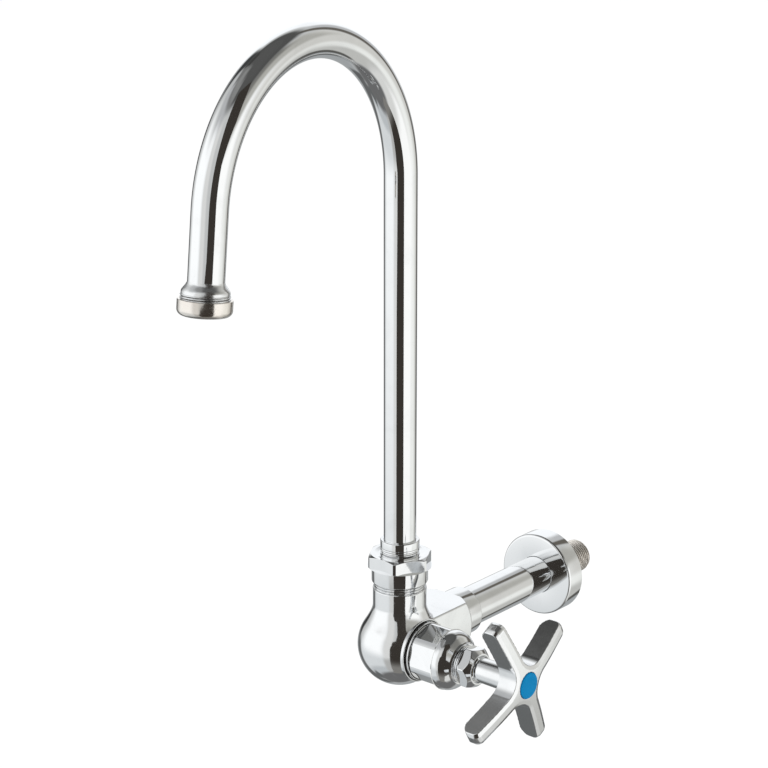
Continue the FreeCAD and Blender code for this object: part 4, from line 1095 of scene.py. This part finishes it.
def cardMaterial(settings):
    material = bpy.data.materials.new("darkCard")
    material.use_nodes = True
    tree = material.node_tree
    tree.nodes.clear()
    where = addNode(tree, "ShaderNodeTexCoord")
    parts = addNode(tree, "ShaderNodeSeparateXYZ")
    feed(tree, where.outputs["Object"], parts.inputs[0])
    fade = rangeNode(tree, parts.outputs[2], settings["fadeTo"], settings["fadeFrom"], 0, 1, True)
    light = addNode(tree, "ShaderNodeEmission")
    feed(tree, mixColour(tree, fade, settings["lowColour"], settings["colour"]), light.inputs["Color"])
    feed(tree, light.outputs[0], addNode(tree, "ShaderNodeOutputMaterial").inputs[0])
    return material


middle = Vector((darkCard["place"][0], darkCard["place"][1], 0))
toObject = (Vector((0, -0.15, 0)) - middle).normalized()
sideways = Vector((-toObject.y, toObject.x, 0))
cardPoints = [middle + sideways * across + Vector((0, 0, up)) for across, up in darkCard["outline"]]
stagePiece("darkCard", cardPoints, cardMaterial(darkCard), ("camera", "diffuse", "shadow", "transmission"))

floorSettings = {"height": -0.30, "half": 8.0, "colour": (0.92, 0.92, 0.92), "whiteShare": 0.85, "glow": 1.06}


def floorMaterial(settings):
    material, tree, shader = newMaterial("paleFloor", 0.0)
    grain = placeGroup(tree, speckleGroup, **{"Grain Size": 40.0, "Cloud Size": 3.0})
    feed(tree, mixColour(tree, grain.outputs["Cloud"], settings["colour"],
                         tuple(value * 0.985 for value in settings["colour"])), shader.inputs["Base Color"])
    feed(tree, rangeNode(tree, grain.outputs["Grain"], *noiseSpan, 0.7, 0.85), shader.inputs["Roughness"])
    path = addNode(tree, "ShaderNodeLightPath")
    seen = mathNode(tree, "MAXIMUM", path.outputs["Is Camera Ray"], mathNode(
        tree, "MAXIMUM", path.outputs["Is Glossy Ray"], path.outputs["Is Transmission Ray"]))
    glow = addNode(tree, "ShaderNodeEmission")
    glow.inputs["Strength"].default_value = settings["glow"]
    mixed = addNode(tree, "ShaderNodeMixShader")
    feed(tree, mathNode(tree, "MULTIPLY", seen, settings["whiteShare"]), mixed.inputs[0])
    feed(tree, shader.outputs[0], mixed.inputs[1])
    feed(tree, glow.outputs[0], mixed.inputs[2])
    out = [node for node in tree.nodes if node.type == "OUTPUT_MATERIAL"][0]
    feed(tree, mixed.outputs[0], out.inputs[0])
    return material


half, height = floorSettings["half"], floorSettings["height"]
floorCorners = ((-1, -1), (1, -1), (1, 1), (-1, 1))
floorPoints = [(across * half, along * half, height) for across, along in floorCorners]
stagePiece("floor", floorPoints, floorMaterial(floorSettings), ("glossy",))

keyLight = {"place": (-0.9, -1.15, 1.35), "target": (0, -0.18, 0.1), "size": 1.1, "power": 18.0}
fillLight = {"place": (1.5, -0.6, 0.9), "target": (0, -0.18, 0.1), "size": 1.4, "power": 9.0}
for name, lamp in (("keyLight", keyLight), ("fillLight", fillLight)):
    lampData = bpy.data.lights.new(name, "AREA")
    lampData.size = lamp["size"]
    lampData.energy = lamp["power"]
    lampObject = bpy.data.objects.new(name, lampData)
    lampObject.location = lamp["place"]
    aim = Vector(lamp["target"]) - Vector(lamp["place"])
    lampObject.rotation_euler = aim.to_track_quat("-Z", "Y").to_euler()
    lampObject.visible_glossy = False
    bpy.context.scene.collection.objects.link(lampObject)
print("studio made")

bpy.context.view_layer.update()
